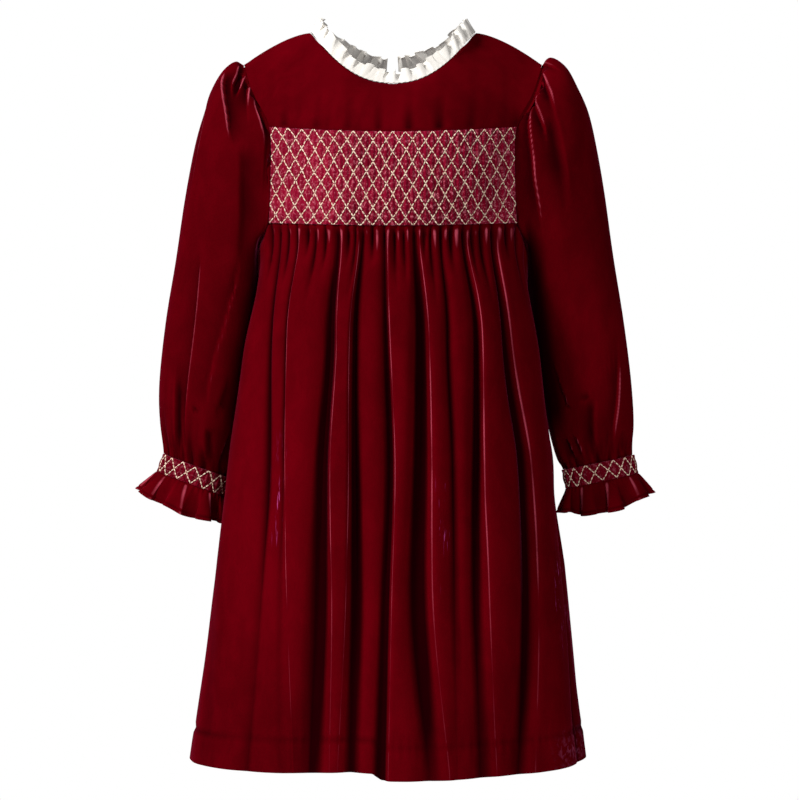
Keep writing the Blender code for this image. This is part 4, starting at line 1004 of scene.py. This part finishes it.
class Nodes:
    """Short calls for building one material's nodes."""

    def __init__(self, name):
        self.material = bpy.data.materials.new(name)
        self.material.use_nodes = True
        self.tree = self.material.node_tree
        self.shader = self.tree.nodes["Principled BSDF"]
        self.place = self.tree.nodes.new("ShaderNodeTexCoord").outputs["Object"]

    def done(self, colour, rough, normal, others=()):
        """Fills the shader's inputs and gives back the material."""
        facts = {"Base Color": colour, "Roughness": rough, "Normal": normal, **dict(others)}
        for key, value in facts.items():
            self.put(self.shader.inputs[key], value)
        return self.material

    def node(self, kind, inputs=(), **facts):
        made = self.tree.nodes.new(kind)
        for key, value in facts.items():
            setattr(made, key, value)
        for key, value in dict(inputs).items():
            self.put(made.inputs[key], value)
        return made

    def put(self, socket, value):
        if isinstance(value, bpy.types.NodeSocket):
            self.tree.links.new(value, socket)
        else:
            socket.default_value = value

    def scaled(self, scale, vector=None, turn=(0, 0, 0)):
        made = self.node("ShaderNodeMapping", {"Vector": vector or self.place})
        made.inputs["Scale"].default_value = scale
        made.inputs["Rotation"].default_value = turn
        return made.outputs["Vector"]

    def noise(self, scale, detail=2.0, vector=None, distortion=0.0, rough=0.5):
        made = self.node("ShaderNodeTexNoise", {
            "Vector": vector or self.place, "Scale": scale, "Detail": detail,
            "Distortion": distortion, "Roughness": rough})
        return made.outputs["Fac"]

    def math(self, operation, a, b=0.0, c=0.0, clamp=False):
        made = self.node("ShaderNodeMath", operation=operation, use_clamp=clamp)
        for k, value in enumerate((a, b, c)):
            self.put(made.inputs[k], value)
        return made.outputs[0]

    def ramp(self, value, low, high, to_low=0.0, to_high=1.0):
        return self.node("ShaderNodeMapRange", {
            "Value": value, "From Min": low, "From Max": high,
            "To Min": to_low, "To Max": to_high}, interpolation_type="SMOOTHSTEP").outputs["Result"]

    def mix(self, factor, a, b, blend="MIX"):
        made = self.node("ShaderNodeMix", data_type="RGBA", blend_type=blend, clamp_factor=True)
        self.put(made.inputs[0], factor)
        for socket, value in ((made.inputs[6], a), (made.inputs[7], b)):
            self.put(socket, (*value, 1) if isinstance(value, tuple) else value)
        return made.outputs[2]

    def spot(self, centre, size, edge=0.5):
        """1 near a point of the dress, in millimetres, falling to 0 over an ellipsoid of that size."""
        middle = tuple(c * MM for c in centre)
        made = self.node("ShaderNodeVectorMath", {0: self.place, 1: middle}, operation="SUBTRACT")
        scale = tuple(1 / (s * MM) for s in size)
        made = self.node("ShaderNodeVectorMath", {0: made.outputs[0], 1: scale}, operation="MULTIPLY")
        far = self.node("ShaderNodeVectorMath", {0: made.outputs[0]}, operation="LENGTH").outputs["Value"]
        return self.ramp(far, edge, 1.0, 1.0, 0.0)

    def bump(self, height, strength, distance, after=None):
        inputs = {"Height": height, "Strength": strength, "Distance": distance * MM}
        made = self.node("ShaderNodeBump", inputs)
        if after is not None:
            self.put(made.inputs["Normal"], after)
        return made.outputs["Normal"]


# The velvet's colours: a painted sheen where its pile lies the other way, its own colour where it is rubbed,
# and painted shade deep in folds and a painted highlight along their edges
BRUSHED_PILE_SHEEN = (0.42, 0.05, 0.20)
RUBBED_PILE = (0.36, 0.06, 0.14)
FLECKS_COLOUR = (0.80, 0.22, 0.30)
PAINTED_FOLD_SHADE = (0.004, 0.0, 0.0005)
PAINTED_FOLD_HIGHLIGHT = (0.52, 0.075, 0.12)


def velvet_look(name, base, deep, sheen, sheen_rough, tint, flecks=0.0):
    """Velvet with a cloudy nap, painted sheen where the pile lies the other way, rubbed places, painted shade
    in the folds and painted highlights along fold edges.
    """
    n = Nodes(name)
    broad = n.noise(2.6, 3.0, n.scaled((4.0, 4.0, 1.0)), distortion=0.6)
    nap = n.noise(60.0, 4.0, n.scaled((1.0, 1.0, 0.6)), distortion=0.4, rough=0.6)
    pile = n.noise(1500.0, 2.0)
    shade = n.math("ADD", n.ramp(broad, 0.35, 0.68, 0.0, 0.7), n.ramp(nap, 0.38, 0.66, 0.0, 0.3))
    colour = n.mix(shade, deep, base)
    # Painted sheen in streaks where the pile lies the other way
    streaks = n.noise(9.0, 3.0, n.scaled((60.0, 30.0, 3.2)), distortion=0.3, rough=0.65)
    brushed_sheen = n.ramp(streaks, 0.60, 0.72)
    where = None
    for centre, size in NAP_SHEEN_STREAKS:
        one = n.spot(centre, size, 0.2)
        where = one if where is None else n.math("MAXIMUM", where, one)
    colour = n.mix(n.math("MULTIPLY", brushed_sheen, where), colour, BRUSHED_PILE_SHEEN)
    rubbed = n.math("MULTIPLY", n.ramp(n.noise(170.0, 4.0, distortion=0.8, rough=0.7), 0.50, 0.66),
                    n.spot(*RUBBED_SPOT, 0.1))
    colour = n.mix(n.math("MULTIPLY", rubbed, 0.55), colour, RUBBED_PILE)
    if flecks:
        fleck = n.ramp(n.noise(420.0, 3.0, distortion=0.6, rough=0.7), 0.52, 0.66, 0.0, flecks)
        colour = n.mix(fleck, colour, FLECKS_COLOUR)
    # Painted shade deep in the folds and a painted highlight along their edges, read from the fold attribute
    fold = n.node("ShaderNodeAttribute", attribute_name="fold").outputs["Fac"]
    dark = n.math("MULTIPLY", n.math("MAXIMUM", fold, 0.0), 0.9)
    fold_edge_highlight = n.math("MULTIPLY", n.ramp(n.math("MULTIPLY", fold, -1.0), 0.3, 1.0), 0.7)
    colour = n.mix(dark, colour, PAINTED_FOLD_SHADE)
    colour = n.mix(n.math("MULTIPLY", fold_edge_highlight, n.ramp(nap, 0.3, 0.55, 0.4, 1.0)), colour, PAINTED_FOLD_HIGHLIGHT)
    normal = n.bump(nap, 0.22, 0.8, n.bump(pile, 0.35, 0.25))
    return n.done(colour, n.ramp(nap, 0.3, 0.7, 0.78, 0.95), normal, {
        "Specular IOR Level": 0.0, "Sheen Weight": sheen, "Sheen Roughness": sheen_rough,
        "Sheen Tint": (*tint, 1)})


def cotton_look(name, base, shadow):
    n = Nodes(name)
    broad = n.noise(30.0, 3.0, distortion=0.5)
    threads = n.noise(2200.0, 1.0, n.scaled((1.0, 1.0, 0.12)))
    cross = n.noise(2200.0, 1.0, n.scaled((0.12, 0.12, 1.0)))
    weave = n.math("ADD", threads, cross)
    colour = n.mix(n.ramp(broad, 0.3, 0.7), shadow, base)
    return n.done(colour, n.ramp(broad, 0.3, 0.7, 0.7, 0.85), n.bump(weave, 0.3, 0.12),
                  {"Specular IOR Level": 0.25, "Sheen Weight": 0.15})


def thread_look(name, base, shadow):
    n = Nodes(name)
    twist = n.noise(900.0, 2.0, n.scaled((1.0, 1.0, 0.35), turn=(0, 0.6, 0)), distortion=0.5)
    tone = n.noise(120.0, 2.0)
    colour = n.mix(n.ramp(tone, 0.3, 0.7), shadow, base)
    rough = n.ramp(twist, 0.3, 0.7, 0.45, 0.65)
    return n.done(colour, rough, n.bump(twist, 0.4, 0.2), {"Sheen Weight": 0.25})


def button_look(name, base):
    n = Nodes(name)
    cloud = n.noise(300.0, 3.0, distortion=1.2)
    colour = n.mix(n.ramp(cloud, 0.4, 0.6), base, tuple(c * 1.8 for c in base))
    return n.done(colour, n.ramp(cloud, 0.3, 0.7, 0.25, 0.4), n.bump(cloud, 0.1, 0.1))


# Making the pieces

def added(name, data):
    """A new object of the scene, with that data."""
    made = bpy.data.objects.new(name, data)
    bpy.context.scene.collection.objects.link(made)
    return made


def mesh_piece(name, points, faces, look, replaced=(), sharp=50.0):
    mesh = bpy.data.meshes.new(name)
    mesh.from_pydata((np.asarray(points) * MM).tolist(), [], faces)
    mesh.materials.append(look)
    mesh.shade_smooth()
    mesh.set_sharp_from_angle(angle=math.radians(sharp))
    made = added(name, mesh)
    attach(made, "root")
    if replaced:
        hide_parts(*replaced)
    return made


def grid_faces(rows, columns, closed, base=0, flip=False):
    i, j = np.meshgrid(np.arange(rows - 1), np.arange(columns if closed else columns - 1), indexing="ij")
    a = base + i * columns + j
    b = base + i * columns + (j + 1) % columns
    quads = np.stack([a, b, b + columns, a + columns], -1).reshape(-1, 4)
    return quads[:, ::-1] if flip else quads


def spread(sheet, closed):
    """Width, length and area of a sheet of points laid flat, in metres and square metres."""
    if closed:
        sheet = np.concatenate([sheet, sheet[:, :1]], axis=1)
    across = np.linalg.norm(np.diff(sheet, axis=1), axis=-1).sum(1).max() * MM
    down = np.linalg.norm(np.diff(sheet, axis=0), axis=-1).sum(0).max() * MM
    a, b = sheet[1:, 1:] - sheet[:-1, :-1], sheet[1:, :-1] - sheet[:-1, 1:]
    area = np.linalg.norm(np.cross(a, b), axis=-1).sum() / 2 * MM * MM
    return float(across), float(down), float(area)


def cloth(name, sheets, look, slot, node, closed=False, flip=False, on=()):
    """A thin closed piece of cloth between two fine sheets, in place of a node."""
    outer, inner = sheets[:2]
    rows, columns = outer.shape[:2]
    n = rows * columns
    points = np.concatenate([outer.reshape(-1, 3), inner.reshape(-1, 3)])
    faces = [grid_faces(rows, columns, closed), grid_faces(rows, columns, closed, n, True)]
    j = np.arange(columns if closed else columns - 1)
    k = (j + 1) % columns
    faces.append(np.stack([k, j, j + n, k + n], -1))
    last = (rows - 1) * columns
    faces.append(np.stack([last + j, last + k, last + k + n, last + j + n], -1))
    if not closed:
        i = np.arange(rows - 1) * columns
        faces.append(np.stack([i, i + columns, i + columns + n, i + n], -1))
        end = i + columns - 1
        faces.append(np.stack([end + columns, end, end + n, end + columns + n], -1))
    faces = np.concatenate(faces)
    if flip:
        faces = faces[:, ::-1]
    made = mesh_piece(name, points, faces.tolist(), look, (node,) if node else ())
    if len(sheets) > 2 and sheets[2].ndim == 2:
        painted_shading = made.data.attributes.new("fold", "FLOAT", "POINT")
        painted_shading.data.foreach_set("value", np.concatenate([sheets[2].ravel(), np.zeros(n)]))
    if node:
        across, down, area = spread(outer, closed)
        area = min(max(area, 0.31 * across * down), across * down)
    return made


def seam_strip(name, side, look):
    """The turned-in seam allowance round an armhole, just inside the cloth."""
    places = np.linspace(0, len(ARMHOLE), 161)[:-1]
    seam = armhole(places, side)
    middle = seam.mean(0)
    inward = unit((middle - seam) * (0, 1, 1))
    rows = []
    for across, deep in ((-3.5, 2.6), (0.3, 2.4), (4.0, 2.6)):
        rows.append(seam + inward * deep + np.array([side * across, 0, 0]))
    outer = np.array(rows)
    inner = outer + inward * 0.8
    cloth(name, (outer, inner), look, "velvet", None, closed=True, flip=side < 0)


# The dress itself
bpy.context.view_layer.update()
velvet = velvet_look("velvet", (0.120, 0.0002, 0.0032), (0.074, 0.0001, 0.002),
                     sheen=0.26, sheen_rough=0.22, tint=(1.0, 0.10, 0.26))
# The smocked chest panel and the smocked cuff bands get brighter copies of the velvet, with more sheen:
# painted sheen of their pleated pile
smocked = velvet_look("velvet_smocked_painted_sheen", (0.30, 0.004, 0.028), (0.13, 0.001, 0.010),
                      sheen=0.6, sheen_rough=0.35, tint=(1.0, 0.40, 0.55), flecks=0.5)
cuff_velvet_painted_sheen = velvet_look("velvet_cuff_painted_sheen", (0.17, 0.001, 0.010), (0.07, 0.0004, 0.004),
                          sheen=0.4, sheen_rough=0.3, tint=(1.0, 0.25, 0.40), flecks=0.22)
cotton = cotton_look("ivory_cotton", (0.88, 0.85, 0.80), (0.80, 0.76, 0.70))
cream = thread_look("cream_thread", (0.92, 0.74, 0.56), (0.82, 0.58, 0.42))
button = button_look("button_red", (0.16, 0.006, 0.02))

front = fine_skirt(FRONT_FOLDS, FRONT_GATHERS, rows=130, back=False, a_gather=8, seed=11)
cloth("front_skirt_cloth", front, velvet, "velvet", "front_skirt")
back = fine_skirt(BACK_FOLDS, BACK_GATHERS, rows=110, back=True, a_gather=8, seed=21)
cloth("back_skirt_cloth", back, velvet, "velvet", "back_skirt", flip=True)
yoke = fine_yoke(across=90, rows=36, back=False, seed=3)
cloth("front_yoke_cloth", yoke, velvet, "velvet", "front_yoke")

panel = fine_smocked_panel(*CHEST_FINENESS)
cloth("smocked_chest_cloth", panel[:2], smocked, "velvet", "smocked_chest_panel")
points, faces = stitches(panel[0], panel[2], DIAMONDS_ACROSS * 2, DIAMOND_HALF_ROWS, *CHEST_FINENESS,
                         THREAD, dashes=3, closed=False, seed=5)
mesh_piece("chest_stitching", points, faces, cream)

SIDES = (  # side, word, span of the back yoke, sleeve, its folds, seeds of the sleeve and cuff frill
    (-1.0, "right", (-1.0, 0.0), RIGHT_SLEEVE, RIGHT_FOLDS, 31, 1.0),
    (1.0, "left", (0.0, 1.0), LEFT_SLEEVE, LEFT_FOLDS, 41, 2.4),
)
for side, word, span, sections, folds, sleeve_seed, frill_seed in SIDES:
    half = fine_yoke(across=48, rows=36, back=True, span=span, seed=7)
    open_back_slit(half[:2], side)
    cloth(f"back_yoke_{word}_cloth", half, velvet, "velvet", f"back_yoke_{word}", flip=True)
    sleeve = fine_sleeve(sections, side, folds, rows=140, per=6, seed=sleeve_seed)
    cloth(f"sleeve_{word}_cloth", sleeve, velvet, "velvet", f"sleeve_{word}", closed=True, flip=side > 0)
    seam_strip(f"armhole_seam_{word}", side, velvet)
    band = fine_cuff(sections[-1], *CUFF_FINENESS)
    cloth(f"cuff_smocking_{word}_cloth", band[:2], cuff_velvet_painted_sheen, "velvet", f"cuff_smocking_{word}",
          closed=True, flip=side > 0)
    points, faces = stitches(band[0], band[2], CUFF_DIAMONDS * 2, 2, *CUFF_FINENESS, THREAD,
                             dashes=3, closed=True, seed=9)
    mesh_piece(f"cuff_stitching_{word}", points, faces, cream)
    frill = fine_cuff_frill(sections[-1], per_wave=28, rows=26, seed=frill_seed)
    cloth(f"cuff_frill_{word}_cloth", frill, velvet, "velvet", f"cuff_frill_{word}",
          closed=True, flip=side > 0)

ruff = fine_neck_frill(per_wave=16, rows=14)
cloth("neck_frill_cloth", ruff, cotton, "neck_frill", "neck_frill", flip=True)
for node, look in (("neck_button", button), ("button_loop", velvet)):
    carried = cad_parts[node]
    carried.data.materials.clear()
    carried.data.materials.append(look)

# Camera, light and backdrop
camera_data = bpy.data.cameras.new("camera")
camera_data.lens = 125.0
camera = added("camera", camera_data)
camera.location = (0.00585, -2.5, -0.331)
camera.rotation_euler = (math.radians(90), 0, 0)
bpy.context.scene.camera = camera


def area_light(name, place, towards, size, power, colour=(1, 1, 1)):
    data = bpy.data.lights.new(name, "AREA")
    data.energy = power
    data.size = size
    data.color = colour
    made = added(name, data)
    made.location = place
    look = Vector(place) - Vector(towards)
    made.rotation_euler = look.to_track_quat("Z", "Y").to_euler()


area_light("key", (-2.0, -1.45, 1.4), (0, 0, -0.25), 0.8, 95)
area_light("fill", (0.9, -2.7, 0.6), (0, 0, -0.35), 1.2, 34)
area_light("rim", (-1.5, 0.9, 0.8), (0, 0, -0.3), 0.8, 14)

world = bpy.data.worlds.new("studio")
bpy.context.scene.world = world
world.use_nodes = True
tree = world.node_tree
ground = tree.nodes["Background"]
ground.inputs["Color"].default_value = (1, 1, 1, 1)
ground.inputs["Strength"].default_value = 0.06
seen = tree.nodes.new("ShaderNodeBackground")
seen.inputs["Color"].default_value = (1, 1, 1, 1)
seen.inputs["Strength"].default_value = 1.0
path = tree.nodes.new("ShaderNodeLightPath")
mixed = tree.nodes.new("ShaderNodeMixShader")
tree.links.new(path.outputs["Is Camera Ray"], mixed.inputs[0])
tree.links.new(ground.outputs[0], mixed.inputs[1])
tree.links.new(seen.outputs[0], mixed.inputs[2])
tree.links.new(mixed.outputs[0], tree.nodes["World Output"].inputs["Surface"])
bpy.context.scene.view_settings.view_transform = "Standard"

floor_mesh = bpy.data.meshes.new("floor")
turns = [k * math.tau / 48 for k in range(48)]
floor_mesh.from_pydata([(1.6 * math.cos(a), 1.6 * math.sin(a), -1.05) for a in turns], [], [list(range(48))])
floor = added("floor", floor_mesh)
paint = Nodes("floor_paint")
grey = paint.mix(paint.noise(6.0, 3.0), (0.86, 0.86, 0.86), (0.90, 0.90, 0.90))
paint.put(paint.shader.inputs["Base Color"], grey)
paint.shader.inputs["Roughness"].default_value = 0.9
floor_mesh.materials.append(paint.material)
